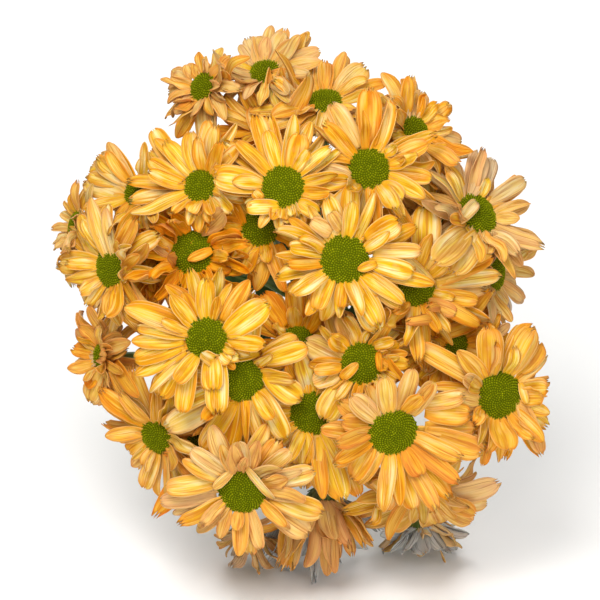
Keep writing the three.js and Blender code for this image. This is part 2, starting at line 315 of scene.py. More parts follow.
# %% Material helpers
def srgb(r, g, b):
    """A colour as an eye names it, 0 to 255, in the linear light that the renderer uses."""
    parts = [v / 255 for v in (r, g, b)]
    return (*[v / 12.92 if v <= 0.04045 else ((v + 0.055) / 1.055) ** 2.4 for v in parts], 1.0)


class Recipe:
    """A small builder of node trees: every step adds a node and returns its output."""

    def __init__(self, name, roughness=0.6):
        self.material = bpy.data.materials.new(name)
        self.material.use_nodes = True
        self.nodes = self.material.node_tree.nodes
        self.links = self.material.node_tree.links
        self.shader = self.nodes["Principled BSDF"]
        self.shader.inputs["Roughness"].default_value = roughness

    def feed(self, socket, value):
        if hasattr(value, "is_output"):
            self.links.new(value, socket)
        else:
            socket.default_value = value

    def attribute(self, name):
        node = self.nodes.new("ShaderNodeAttribute")
        node.attribute_name = name
        return node.outputs["Fac"]

    def across_and_along(self):
        uv = self.nodes.new("ShaderNodeUVMap")
        uv.uv_map = "Surface"
        split = self.nodes.new("ShaderNodeSeparateXYZ")
        self.links.new(uv.outputs["UV"], split.inputs[0])
        return split.outputs[0], split.outputs[1]

    def place(self):
        return self.nodes.new("ShaderNodeTexCoord").outputs["Object"]

    def maths(self, operation, a, b=0.0):
        node = self.nodes.new("ShaderNodeMath")
        node.operation = operation
        self.feed(node.inputs[0], a)
        self.feed(node.inputs[1], b)
        return node.outputs[0]

    def times(self, a, b):
        return self.maths("MULTIPLY", a, b)

    def off_middle(self, across):
        """0 on the lengthwise middle of a surface and 1 at its edges."""
        return self.maths("ABSOLUTE", self.maths("SUBTRACT", self.times(across, 2.0), 1.0))

    def colour(self, value):
        self.feed(self.shader.inputs["Base Color"], value)

    def together(self, x, y, z):
        node = self.nodes.new("ShaderNodeCombineXYZ")
        for socket, value in zip(node.inputs, (x, y, z)):
            self.feed(socket, value)
        return node.outputs[0]

    def noise(self, vector, scale, detail=2.0):
        node = self.nodes.new("ShaderNodeTexNoise")
        self.feed(node.inputs["Vector"], vector)
        node.inputs["Scale"].default_value = scale
        node.inputs["Detail"].default_value = detail
        return node.outputs[0]

    def streaks(self, across, many_across, along, many_along, shift=0.0, detail=2.0):
        """Noise drawn out along the surface, or across it, by how many lie each way."""
        stretched = self.together(self.times(across, many_across), self.times(along, many_along), shift)
        return self.noise(stretched, 1.0, detail)

    def between(self, value, start, end):
        """0 before start, 1 after end, smooth between."""
        node = self.nodes.new("ShaderNodeMapRange")
        node.interpolation_type = "SMOOTHSTEP"
        self.feed(node.inputs["Value"], value)
        node.inputs["From Min"].default_value = start
        node.inputs["From Max"].default_value = end
        return node.outputs[0]

    def ramp(self, value, stops):
        node = self.nodes.new("ShaderNodeValToRGB")
        self.feed(node.inputs[0], value)
        elements = node.color_ramp.elements
        while len(elements) < len(stops):
            elements.new(0.5)
        for element, (place, colour) in zip(elements, stops):
            element.position = place
            element.color = colour
        return node.outputs[0]

    def mix(self, amount, a, b, blend="MIX"):
        node = self.nodes.new("ShaderNodeMix")
        node.data_type = "RGBA"
        node.blend_type = blend
        self.feed(node.inputs[0], amount)
        self.feed(node.inputs[6], a)
        self.feed(node.inputs[7], b)
        return node.outputs[2]

    def bump(self, height, distance, strength):
        node = self.nodes.new("ShaderNodeBump")
        node.inputs["Distance"].default_value = distance
        node.inputs["Strength"].default_value = strength
        self.feed(node.inputs["Height"], height)
        self.feed(self.shader.inputs["Normal"], node.outputs[0])


# %% [markdown]
# ## Petal finish
# A petal is thin, matt and slightly translucent. Its colour runs in fine lines from foot to tip: cream on the ridges,
# which is partly painted highlight, orange towards the edges and the tip, a pale rim, and grey on the backs of the
# outer flowers, which is partly painted shade. Noise stretched along the petal gives the lines: broad bands of cream or
# orange and hairline veins, which both lift the surface, so the cream on the raised bands is partly painted highlight
# and the deep orange in the low ones partly painted shade. Values stored on the points say how warm and how grey a
# petal is, and both are partly painted shade.

# %% Petal material
def petal_finish():
    m = Recipe("petal_orange", roughness=0.52)
    across, along = m.across_and_along()
    off_middle = m.off_middle(across)
    shift = m.times(m.attribute("seed"), 37.0)
    bands = m.streaks(across, 3.0, along, 0.9, shift)
    veins = m.streaks(across, 15.0, along, 1.1, shift)
    blotches = m.streaks(across, 1.6, along, 3.2, shift)
    # the same bands lift the surface in the bump below, so the cream on the raised bands is partly painted highlight
    # and the deep orange in the low ones partly painted shade
    ground = m.ramp(
        bands,
        [
            (0.36, srgb(210, 148, 8)),
            (0.44, srgb(224, 176, 14)),
            (0.51, srgb(234, 196, 52)),
            (0.58, srgb(242, 214, 122)),
            (0.68, srgb(246, 228, 170)),
        ],
    )
    vein_amount = m.between(veins, 0.52, 0.66)
    pale_line = m.between(m.times(veins, -1.0), -0.46, -0.36)
    blush = m.times(m.between(blotches, 0.52, 0.68), 0.3)
    blushed = m.mix(blush, ground, srgb(232, 178, 122))
    lined = m.mix(m.times(vein_amount, 0.7), blushed, srgb(200, 126, 34))
    lit = m.mix(m.times(pale_line, 0.4), lined, srgb(246, 228, 172))
    edge = m.times(m.between(off_middle, 0.62, 0.9), 0.7)
    edged = m.mix(edge, lit, srgb(222, 150, 8))
    tip = m.times(m.between(along, 0.72, 1.0), m.between(blotches, 0.35, 0.6))
    tipped = m.mix(m.times(tip, 0.75), edged, srgb(220, 138, 12))
    foot = m.maths("SUBTRACT", 1.0, m.between(along, 0.05, 0.38))
    footed = m.mix(m.times(foot, 0.7), tipped, srgb(232, 168, 8))
    rimmed = m.mix(m.times(m.between(off_middle, 0.90, 1.0), 0.55), footed, srgb(250, 222, 164))
    # deep orange for warm petals, strongest in the flowers sunk among the others: partly their own colour, partly
    # painted shade and bounced light
    deep = m.mix(1.0, rimmed, srgb(252, 206, 68), "MULTIPLY")
    warmed = m.mix(m.attribute("warmth"), rimmed, deep)
    # dusky and ashen greys for grey petals: partly their own grey backs and withered petals, partly painted shade on
    # flowers that turn away or hang low
    dusky = m.mix(vein_amount, srgb(214, 182, 142), srgb(160, 126, 100))
    ashen = m.mix(vein_amount, srgb(192, 192, 188), srgb(120, 118, 114))
    dry_and_shaded = m.mix(m.between(m.attribute("grey"), 0.6, 0.95), dusky, ashen)
    m.colour(m.mix(m.attribute("grey"), warmed, dry_and_shaded))
    m.shader.inputs["Specular IOR Level"].default_value = 0.12
    m.shader.inputs["Subsurface Weight"].default_value = 0.12
    m.shader.inputs["Subsurface Scale"].default_value = 0.0012
    m.shader.inputs["Subsurface Radius"].default_value = (1.0, 0.55, 0.2)
    m.bump(m.maths("ADD", veins, m.times(bands, 1.2)), 0.0004, 0.8)
    return m.material


PETAL = petal_finish()
print("petal material has", len(PETAL.node_tree.nodes), "nodes")

# %% [markdown]
# ## Green finishes
# The florets of the disc are matt and differ slightly from one to the next, with painted shade at their feet in the
# hollow between them. Stems are satin with pale ribs, and the cut ends show a white pith. Leaves have a pale midrib and
# side veins. The twine is two twisted strands, with painted shade in the groove between them.

# %% Green and twine materials
def floret_finish():
    m = Recipe("disc_florets", roughness=0.85)
    green = m.ramp(
        m.attribute("ripeness"),
        [(0.0, srgb(88, 98, 2)), (0.5, srgb(112, 122, 4)), (1.0, srgb(150, 156, 14))],
    )
    # painted shade: each floret darkens towards its foot, in the hollow between the florets
    shaded_at_feet = m.mix(m.between(m.attribute("height"), 0.0, 0.75), srgb(86, 96, 1), green)
    bright_tip = m.times(m.between(m.attribute("height"), 0.7, 1.0), 0.35)
    speckle = m.noise(m.place(), 900.0)
    m.colour(m.mix(bright_tip, shaded_at_feet, srgb(160, 160, 20)))
    m.shader.inputs["Specular IOR Level"].default_value = 0.04
    m.bump(speckle, 0.0001, 0.5)
    return m.material


def stem_finish():
    m = Recipe("stem_skin", roughness=0.48)
    round_stem, along = m.across_and_along()
    ribs = m.streaks(round_stem, 16.0, along, 0.25, detail=3.0)
    patches = m.noise(m.place(), 60.0, 3.0)
    green = m.mix(m.between(patches, 0.35, 0.65), srgb(70, 98, 30), srgb(104, 128, 52))
    ribbed = m.mix(m.between(ribs, 0.5, 0.75), green, srgb(146, 160, 88))
    blush = m.between(m.noise(m.place(), 34.0), 0.56, 0.72)
    m.colour(m.mix(m.times(blush, 0.45), ribbed, srgb(120, 70, 66)))
    m.bump(ribs, 0.0004, 0.7)
    return m.material


def pith_finish():
    m = Recipe("cut_pith", roughness=0.75)
    fibres = m.noise(m.place(), 900.0, 4.0)
    m.colour(m.mix(fibres, srgb(196, 198, 150), srgb(236, 234, 206)))
    m.bump(fibres, 0.0002, 0.6)
    return m.material


def leaf_finish():
    m = Recipe("leaf_green", roughness=0.5)
    across, along = m.across_and_along()
    off_middle = m.off_middle(across)
    slant = m.maths("SUBTRACT", along, m.times(off_middle, 0.16))
    side_veins = m.between(m.times(m.maths("PINGPONG", m.times(slant, 7.0), 0.5), -1.0), -0.05, -0.01)
    midrib = m.between(m.times(off_middle, -1.0), -0.08, -0.02)
    vein = m.maths("MAXIMUM", midrib, side_veins)
    mottle = m.noise(m.place(), 140.0, 4.0)
    blade = m.mix(m.between(mottle, 0.3, 0.7), srgb(44, 72, 26), srgb(74, 104, 40))
    m.colour(m.mix(m.times(vein, 0.6), blade, srgb(132, 152, 84)))
    m.bump(m.maths("SUBTRACT", m.times(mottle, 0.6), vein), 0.0006, 0.8)
    return m.material


def twine_finish():
    m = Recipe("natural_twine", roughness=0.85)
    round_cord, along = m.across_and_along()
    strand = m.maths("SINE", m.times(m.maths("ADD", along, round_cord), 2 * math.pi))
    fibres = m.streaks(round_cord, 14.0, along, 4.0, detail=4.0)
    tan = m.mix(m.between(fibres, 0.3, 0.7), srgb(150, 116, 70), srgb(206, 176, 122))
    # painted shade: darker in the groove between the two strands
    m.colour(m.mix(m.between(strand, -1.0, -0.4), srgb(112, 84, 48), tan))
    m.bump(m.maths("ADD", strand, fibres), 0.0003, 0.8)
    return m.material


FLORET, STEM, PITH, LEAF, TWINE = floret_finish(), stem_finish(), pith_finish(), leaf_finish(), twine_finish()
print("green materials:", FLORET.name, STEM.name, PITH.name, LEAF.name, TWINE.name)

# %% [markdown]
# ## Petal outlines
# A ray petal is a strap with a narrow foot, two long grooves and a tip that is round,
# sharp or cut into teeth. An outline is the width of each cross row, as a share of the
# usual width, and the millimetres by which the points along the tip stand forward or
# back. The rows close up towards the tip, where the shape changes most.

# %% Petal outlines
PETAL_LENGTH, PETAL_WIDTH, PETAL_THICKNESS = 30.0, 9.0, 0.26
ROWS, LINES = 12, 6
ROW_PLACES = [0, 0.07, 0.15, 0.25, 0.36, 0.47, 0.58, 0.69, 0.79, 0.87, 0.93, 0.975, 1]
RELIEF = [-0.14, 0.26, -0.32, 0.30, -0.32, 0.26, -0.14]  # ridges and grooves, line by line
TOOTH_SHARES = [(12, 1.0), (11, 0.86), (10, 0.62), (9, 0.25)]  # how much of a tooth a row takes
NO_TEETH = [0] * (LINES + 1)
OUTLINES = {
    "round": (
        [0.54, 0.66, 0.78, 0.88, 0.95, 0.99, 1.00, 0.99, 0.94, 0.86, 0.74, 0.57, 0.30],
        [-0.3, 0.6, -1.0, 0.8, -1.3, 0.4, -0.2],
    ),
    "cut": (
        [0.54, 0.66, 0.78, 0.88, 0.94, 0.98, 1.00, 0.98, 0.93, 0.85, 0.74, 0.60, 0.42],
        [-1.4, 1.2, -3.4, 1.5, -4.0, 1.0, -1.6],
    ),
    "sharp": ([0.52, 0.64, 0.76, 0.86, 0.93, 0.96, 0.95, 0.89, 0.77, 0.61, 0.43, 0.26, 0.05], NO_TEETH),
    "thin": ([0.40, 0.48, 0.57, 0.65, 0.71, 0.74, 0.75, 0.73, 0.67, 0.56, 0.42, 0.27, 0.06], NO_TEETH),
    "broad": (
        [0.56, 0.70, 0.86, 1.00, 1.10, 1.17, 1.20, 1.19, 1.12, 1.00, 0.84, 0.64, 0.38],
        [-0.9, 1.0, -2.4, 0.9, -2.8, 0.7, -0.7],
    ),
}
print("outlines:", ", ".join(OUTLINES))

# %% [markdown]
# ## Petal masters
# Each shape starts as a flat grid. Its lengthwise lines are lifted into ridges and
# grooves, and its cross rows are scaled to the outline and set down one petal's length
# further on, clear of the rows that still wait. The points at the tip are pulled to its
# teeth, and a Solidify modifier gives it a real thickness, with a rim.

# %% Petal masters
def petal_master(name, widths, teeth):
    nothing_selected()
    bpy.ops.mesh.primitive_grid_add(x_subdivisions=ROWS, y_subdivisions=LINES, size=1)
    piece = bpy.context.object
    piece.name = "master_" + name
    line_places = [j / LINES - 0.5 for j in range(LINES + 1)]
    for j, lift in enumerate(RELIEF):
        pick(piece, lambda p: abs(p.y - line_places[j]) < 0.01 and abs(p.x) < 0.45)
        bpy.ops.transform.translate(value=(0, 0, lift))
    pick(piece, lambda p: True)
    bpy.ops.transform.resize(value=(PETAL_LENGTH, PETAL_WIDTH, 1), center_override=(0, 0, 0))
    for k in reversed(range(ROWS + 1)):
        at = (k / ROWS - 0.5) * PETAL_LENGTH
        picked = pick(piece, lambda p: abs(p.x - at) < 0.49 * PETAL_LENGTH / ROWS)
        assert picked == LINES + 1
        bpy.ops.transform.resize(value=(1, widths[k], 1))
        bpy.ops.transform.translate(value=(ROW_PLACES[k] * PETAL_LENGTH - at + PETAL_LENGTH, 0, 0))
    for k, share in TOOTH_SHARES:
        at, gap = (ROW_PLACES[k] + 1) * PETAL_LENGTH, widths[k] * PETAL_WIDTH / LINES
        for j, tooth in enumerate(teeth):
            if tooth:
                pick(piece, lambda p: abs(p.x - at) < 0.01 and abs(p.y - (j - LINES / 2) * gap) < gap / 3)
                bpy.ops.transform.translate(value=(share * tooth, 0, 0))
    pick(piece, lambda p: True)
    bpy.ops.transform.translate(value=(-PETAL_LENGTH, 0, 0))
    thickened(piece, PETAL_THICKNESS)
    return taken_as_arrays(piece)


MASTERS = {name: petal_master(name, *outline) for name, outline in OUTLINES.items()}
print("petal masters:", {name: (len(p), len(f)) for name, (p, f) in MASTERS.items()})

# %% [markdown]
# ## Bending a petal
# A real petal leaves the flower almost flat, rises, and then droops or curls at its tip.
# It also bends sideways, twists, and closes to a channel or folds along its middle. So
# a bent middle line is worked out first, with its side and upward directions, and the
# master's points are hung on it. One flat master gives endless petals in this way.

# %% Bent petals
STEPS = np.linspace(0, 1, 25)
SETTLING = 5.5  # how soon a petal leaves the pitch of its foot
KINK_WAVES, RUFFLE_WAVES = 1.2, 1.6  # in the length of a petal
EDGES_APART = 1.7  # between the ruffles of the two edges, in radians
ROLL_PACE = 2.5  # the roll is complete at the length divided by this


def spun(spots, angle):
    """Points turned round the upward axis."""
    c, n = math.cos(angle), math.sin(angle)
    return np.stack([spots[:, 0] * c - spots[:, 1] * n, spots[:, 0] * n + spots[:, 1] * c, spots[:, 2]], axis=1)


class Petal:
    """One petal's measures: angles in degrees, lengths in millimetres."""

    start = 0  # pitch at the foot
    curl = 0  # added to the pitch towards the tip
    sweep = 0  # sideways bend
    roll = 0  # turn about its own length
    twist = 0  # added to the roll towards the tip
    cup_foot = cup = 0  # how far the edges close, at the foot and at the tip
    fold = 0  # along the middle
    ruffle = phase = 0  # waves of the edges
    kink = 0  # lengthwise waves, in degrees of pitch
    veer = 0  # turn about its own foot, away from the disc's radius
    # warmth and grey, and the greyest colour of a petal that hangs behind a bell, are partly the petal's own colour and
    # partly painted shade
    warm = grey = None  # its colours, where they are known
    dry_and_shaded = False
    sure = False  # its place is known, so it moves little
    aim = None  # where its tip is seen, across and up

    def __init__(self, shape, turn, length, width, foot, height, pitch, **more):
        self.shape, self.turn, self.length, self.width = shape, turn, length, width
        self.foot, self.height, self.pitch = foot, height, pitch
        self.first_length = length
        vars(self).update(more)

    def bent(self, points, shift=0.0):
        """Master points bent, in the flower's own frame. The shift is added to the pitch."""
        settle = np.exp(-STEPS * SETTLING)
        pitch = np.radians(self.start * settle + (self.pitch + shift) * (1 - settle) + self.curl * STEPS**2)
        pitch += math.radians(self.kink) * np.sin(2 * math.pi * KINK_WAVES * STEPS + self.phase) * STEPS
        yaw = np.radians(self.sweep * STEPS)
        along = np.stack([np.cos(pitch) * np.cos(yaw), np.cos(pitch) * np.sin(yaw), np.sin(pitch)])
        line = np.zeros((3, len(STEPS)))
        line[:, 1:] = np.cumsum((along[:, 1:] + along[:, :-1]) / 2, axis=1) * self.length / (len(STEPS) - 1)
        side0 = np.stack([-np.sin(yaw), np.cos(yaw), np.zeros_like(yaw)])
        up0 = np.stack([-np.sin(pitch) * np.cos(yaw), -np.sin(pitch) * np.sin(yaw), np.cos(pitch)])
        roll = np.radians(self.roll * np.minimum(1, STEPS * ROLL_PACE) + self.twist * STEPS)
        side = side0 * np.cos(roll) + up0 * np.sin(roll)
        up = up0 * np.cos(roll) - side0 * np.sin(roll)
        s = points[:, 0] / PETAL_LENGTH
        over = np.maximum(0, s - 1)[:, None] * self.length * along[:, -1]
        at, side, up = (np.stack([np.interp(s, STEPS, row) for row in rows], axis=1) for rows in (line, side, up))
        a = points[:, 1] * self.width / PETAL_WIDTH
        half = self.width / 2
        closing = np.radians(self.cup_foot + (self.cup - self.cup_foot) * s) / half
        closing = np.where(np.abs(closing) < 1e-4, 1e-4, closing)
        angle = a * closing
        fold = math.radians(self.fold)
        wave = np.sin(2 * math.pi * RUFFLE_WAVES * s + self.phase + (a > 0) * EDGES_APART)
        wave = self.ruffle * (a / half) ** 2 * wave
        h = points[:, 2]
        sideways = np.sin(angle) / closing * math.cos(fold) - h * np.sin(angle)
        upwards = (1 - np.cos(angle)) / closing + np.abs(a) * math.sin(fold) + wave + h * np.cos(angle)
        spot = at + over + side * sideways[:, None] + up * upwards[:, None]
        spot = spun(spot, math.radians(self.veer)) + np.array([self.foot, 0, self.height])
        return spun(spot, self.turn)


# %% [markdown]
# ## Petals that are listed one by one
# Some petals are looked at one by one: those that cross a disc, curl up, fold over a neighbour or stand out in the
# outline. Each has a row under its flower's number: its outline, its foot and its tip as they are seen, each as across
# and up, its width, the height of its foot and its pitch, then how warm and how grey it is, where that matters, both
# partly painted shade, and what else is odd about it. The open flowers in front come first.

# %% Petals in front
BY_HAND = {}
BY_HAND[13] = [
    ("broad", 34.3, 30.7, 51, 40.6, 11.5, 2, 20, {"curl": -24}),
    ("round", 36.9, 19.2, 58.2, 14, 11, 1.6, 12),
    ("round", 37.4, 25, 62.4, 25.5, 9, 0.8, 12, 0, 0.2),
    ("sharp", 39.5, 19, 29.6, 15.6, 5.5, 3.2, 12, 0.4, {"cup": 10}),
    ("round", 32.2, 12, 42.6, 4.2, 10, 2, 18),
    ("cut", 34.3, 12.5, 53, -2.6, 11.5, 0.8, 8),
    ("round", 25, 8.8, 25.5, -1.6, 7.5, 1.8, 18),
    ("broad", 29.6, 9.9, 40, -16.1, 12.5, 0.8, 8, 0),
    ("sharp", 21.3, 8.3, 20.3, -9.4, 8, 1.2, 12, {"twist": 50}),
    ("thin", 22.9, 8.3, 24.4, -3.6, 7, 1.6, 18, {"twist": -50}),
    ("round", 16.1, 34.3, 5.7, 40.6, 9.5, 2.4, 34, None, 0.35, {"curl": -40, "cup": 80}),
    ("round", 21.3, 35.9, 15.6, 44.7, 8, 2.6, 44, None, 0.3, {"curl": -70, "cup": 70}),
    ("sharp", 27, 35.9, 28.1, 42.1, 6, 2.6, 40, 0.2, {"curl": -50}),
    ("sharp", 37.4, 15.6, 69.7, 8.3, 9, 0, 2, 0.3),
]
BY_HAND[14] = [
    ("cut", -45.2, -30.2, -44.7, -46.8, 12.5, 2.2, 12, 0, {"curl": -16, "cup": 36}),
    ("cut", -42.1, -31.2, -42.6, -58.8, 13.5, 0.6, 4, 0.1, {"curl": -14, "cup": 36}),
    ("round", -56.2, -31.7, -60.8, -58.2, 11, 1, 10, 0.3),
    ("broad", -38.5, -17.7, -16.6, -1.6, 12.5, 1.4, 14, 0.1),
    ("sharp", -39.5, -11.4, -26, 10.4, 10, 0.8, 10, 0.7),
    ("broad", -60.8, -28.6, -72.8, -50.4, 12, 0.6, 6, 0.2),
    ("broad", -59.8, -12, -90.5, -4.7, 11.5, 1.4, 10, 0.3),
    ("round", -61.4, -16.1, -84.2, -14, 10.5, 0.8, 8, 0.2),
    ("round", -61.9, -23.9, -85.8, -30.7, 11, 1.4, 10, 0.2),
    ("sharp", -60.3, -20.8, -87.4, -21.3, 10, 1.2, 8, 0.2),
    ("sharp", -59.3, -26, -85.8, -39, 10, 0.8, 8, 0.3),
    ("sharp", -54.1, -9.4, -60.8, 3.6, 10, 0.8, 10, 0.5),
]
BY_HAND[15] = [
    ("thin", -21.3, -27.6, -40, -31.2, 7.5, 3.4, 6, 0, {"cup": 60, "roll": 24}),
    ("broad", -28.1, -30.2, -28.1, 0, 14, 1.6, 16, 0.1),
    ("round", -19.2, -31.7, 3.6, -24.4, 11.5, 1.6, 14, 0.1),
    ("thin", -19.8, -28.1, -1.6, -18.7, 9, 0.8, 10, 0.2),
    ("broad", -17.7, -38, 0.5, -51.5, 12, 1.6, 14, 0.1),
    ("round", -20.8, -46.8, -7.8, -71.8, 12.5, 1.6, 12, 0),
    ("broad", -38.5, -49.9, -69.7, -66.6, 12.5, 0, 2, 0, 0.3),
    ("round", -34.8, -53.6, -51, -77.5, 11, 0.6, 6, 0.3),
]
BY_HAND[16] = [
    ("thin", -27.6, -87.4, -13.5, -103.5, 7, 3.6, 6, 0, 0.25, {"cup": 70, "roll": 30}),
    ("round", -43.2, -94.1, -69.7, -97.8, 11.5, 1.6, 14, 0.1),
    ("round", -38, -90.5, -56.2, -77.5, 10, 1.2, 14, 0, 0.45, {"cup": 50}),
    ("thin", -34.8, -88.4, -45.2, -98.3, 7, 3, 12, 0.1, 0.3, {"cup": 60}),
    ("round", -29.1, -88.4, -32.2, -73.3, 10, 1.6, 26, 0.1, 0.4),
    ("broad", -17.2, -94.6, 7.3, -88.4, 10, 1.4, 14, 0.1),
    ("broad", -15.6, -101.9, 12, -110.8, 12, 1.2, 10, 0.2),
    ("broad", -16.6, -107.1, 4.7, -122.2, 12, 0.6, 6, 0.5),
    ("thin", -40.6, -109.2, -63.4, -116.5, 8, 0.6, 4, None, 0.6),
    ("broad", -40.6, -107.1, -57.2, -112.3, 10, 0.8, 8, None, 0.35),
    ("round", -43.7, -100.9, -72.8, -105, 10, 0.6, 6, None, 0.55),
    ("round", -19.8, -89.4, -5.2, -78, 9, 1.2, 14, 0.2, 0.3),
    ("thin", -49.4, -104, -63.4, -110.2, 7, 0.6, 6, None, 0.5),
    ("thin", -45.8, -108.2, -53, -119.6, 7, 0.6, 6, None, 0.3),
    ("thin", -18.7, -93.6, 1, -88.4, 7.5, 1.8, 14, None, 0.5),
    ("thin", -19.8, -107.1, -5.2, -119.6, 7.5, 1, 10, 0.5),
    ("thin", -25, -110.2, -20.8, -128.4, 7.5, 1, 10, 0.5),
    ("thin", -31.2, -111.3, -29.1, -130.5, 8, 1.2, 10, 0.6),
    ("sharp", -37.4, -109.2, -42.1, -124.8, 7.5, 1.2, 10, 0.6),
    ("thin", -45.8, -101.9, -66.6, -111.8, 7.5, 1, 10, None, 0.5),
    ("thin", -17.7, -101.9, 3.1, -103, 7.5, 1.4, 14, None, 0.45),
]
BY_HAND[17] = [
    ("broad", 45.8, -58.8, 43.2, -39.5, 9.5, 2, 24, 0.2, 0.2),
    ("round", 52, -57.7, 57.7, -35.4, 9.5, 1.4, 20, 0.3, 0.3),
    ("round", 57.2, -59.3, 68.6, -42.1, 9, 1.4, 18, 0.2, 0.3),
    ("broad", 40.6, -62.4, 26.5, -49.4, 10, 1.4, 18, 0.2, 0.4),
    ("round", 36.4, -69.7, 10.9, -66.6, 9.5, 1, 10, 0.6, {"roll": 45}),
    ("broad", 37.4, -74.9, 27, -92.6, 10, 0.8, 10, 0.5, {"twist": 30}),
    ("broad", 65, -68.6, 94.6, -78.5, 12.5, 1.2, 10, 0.5),
    ("round", 64.5, -65.5, 90.5, -66.6, 11, 0.8, 10, 0.4),
    ("round", 51, -83.2, 59.3, -108.7, 11, 0.6, 8, 0.5),
    ("round", 45.8, -84.2, 44.7, -109.2, 11, 1, 10, 0.4),
    ("broad", 64.5, -57.7, 88.4, -58.8, 11, 0.3, 4, 0.6),
    ("cut", 62.9, -53.6, 84.8, -49.4, 10, 0.8, 8, 0.3, 0.2),
    ("sharp", 42.6, -74.4, 30.2, -95.7, 9.5, 0.4, 6, 0.6),
]
BY_HAND[18] = [
    ("broad", 98.8, -40, 97.2, -14, 13, 1.6, 16, 0.3),
    ("broad", 108.2, -38.5, 120.1, -13.5, 12.5, 1.4, 14, 0.3),
    ("round", 93.6, -45.8, 84.8, -40, 9.5, 2.4, 24, 0, 0.35, {"cup": 60}),
    ("thin", 114.9, -43.2, 118, -54.1, 6, 3, 24, 0.2, {"cup": 60}),
    ("round", 93.6, -53, 79, -48.9, 9, 1.4, 16, 0.2, 0.3),
    ("round", 93.6, -55.6, 81.6, -67.6, 10, 0.8, 10, 0.1, 0.35),
    ("broad", 93, -52, 73.4, -54.6, 10, 0.6, 8, 0.3, 0.25),
    ("broad", 114.4, -37.4, 124.8, -21.8, 12, 1, 12, 0.4),
    ("round", 113.4, -49.9, 126.4, -80.1, 9, 1, 10, 0.4, 0.3),
    ("broad", 96.7, -56.2, 84.2, -66.6, 10, 0.6, 8, 0.3),
]
BY_HAND[19] = [
    ("sharp", 21.3, -41.1, 30.2, -32.8, 6.5, 3, 12, 0.6, {"cup": 60}),
    ("broad", 21.3, -31.2, 2.6, -21.8, 11.5, 1.6, 14, 0, 0.3),
    ("round", 20.3, -38, 6.8, -43.2, 11.5, 1.8, 14, 0, 0.25, {"curl": 20, "cup": 70}),
    ("broad", 23.4, -42.6, 12.5, -62.4, 13, 1.8, 14, 0),
    ("round", 28.1, -44.2, 28.1, -61.4, 9, 1, 10, 0.1),
    ("thin", 40.6, -27, 41.6, -37.4, 6, 2.4, 20, 0.9, {"twist": 40}),
    ("thin", 42.6, -28.1, 54.6, -42.6, 7.5, 1.6, 14, 1, {"roll": 30}),
    ("round", 38.5, -23.9, 48.4, -20.8, 7, 2.4, 26, 0.3, {"cup": 60}),
    ("broad", 28.1, -22.9, 21.8, -6.2, 10, 1, 12, 0.5, 0.2),
]
BY_HAND[20] = [
    ("round", 23.4, -67.6, 27, -97.8, 10, 0.4, 6, 0.6, 0.2),
    ("sharp", 1, -67.6, -7.8, -91.5, 10, 1, 12, 0.3, 0.2),
    ("broad", 9.4, -69.7, 11.4, -99.8, 11, 0.8, 10, 0.2, 0.2),
    ("sharp", 0, -65, -12, -76.4, 9, 0.8, 10, 0.4),
    ("broad", 5.2, -70.7, 2.1, -98.8, 10, 0.6, 8, 0.2, 0.2),
    ("broad", 11.4, -71.2, 22.4, -104.5, 12.5, 1.4, 12, 0.1),
    ("round", 17.7, -70.7, 30.7, -102.4, 10.5, 0.6, 8, 0.5),
    ("broad", 1, -68.6, 0.5, -86.3, 12.5, 1.6, 14, 0.1),
]
BY_HAND[5] = [
    ("broad", 35.9, 80.1, 35.9, 110.2, 11.5, 1.4, 12),
    ("broad", 30.2, 79, 16.1, 101.9, 10, 1, 10, 0, 0.3),
    ("round", 26, 62.9, 10.9, 66, 12, 2, 12, 0.1, 0.35, {"curl": -30, "cup": 40}),
    ("broad", 41.1, 59.3, 51.5, 50.4, 12.5, 1.8, 16, 0.1, {"curl": -30}),
    ("round", 46.3, 66.6, 68.1, 62.9, 9, 1.2, 12, 0.3),
    ("round", 44.7, 75.9, 49.9, 80.1, 7, 2.4, 40, {"curl": 50, "cup": 70}),
    ("sharp", 46.3, 70.7, 54.1, 73.8, 7, 2.2, 40, {"curl": 60, "cup": 90}),
    ("sharp", 28.6, 59.8, 27, 52, 6, 2.2, 30, {"curl": -80}),
]
BY_HAND[6] = [
    ("broad", -19.8, 59.3, -44.2, 63.4, 12.5, 1.6, 16, {"cup": 30}),
    ("round", -10.9, 48.4, -27.6, 47.3, 9, 2.2, 8, 0, {"curl": -10, "cup": 50}),
    ("round", -19.8, 52, -23.9, 56.2, 6, 2, 30),
    ("sharp", -4.7, 48.4, -4.2, 40.6, 6, 2.4, 20, {"curl": -60}),
    ("cut", -15.6, 71.2, -22.9, 96.2, 10, 1, 10),
    ("cut", -1, 50.4, 9.4, 44.2, 9, 1.8, 18, {"curl": -40}),
]
print(sum(map(len, BY_HAND.values())), "petals in front")

# %% [markdown]
# The flowers further in have deep orange petals that twist, fold and curl up against their neighbours, so their rows
# hold more warmth, cupping and curl. Their deeper orange is partly their own colour and partly painted shade of the
# hollow they lie in.

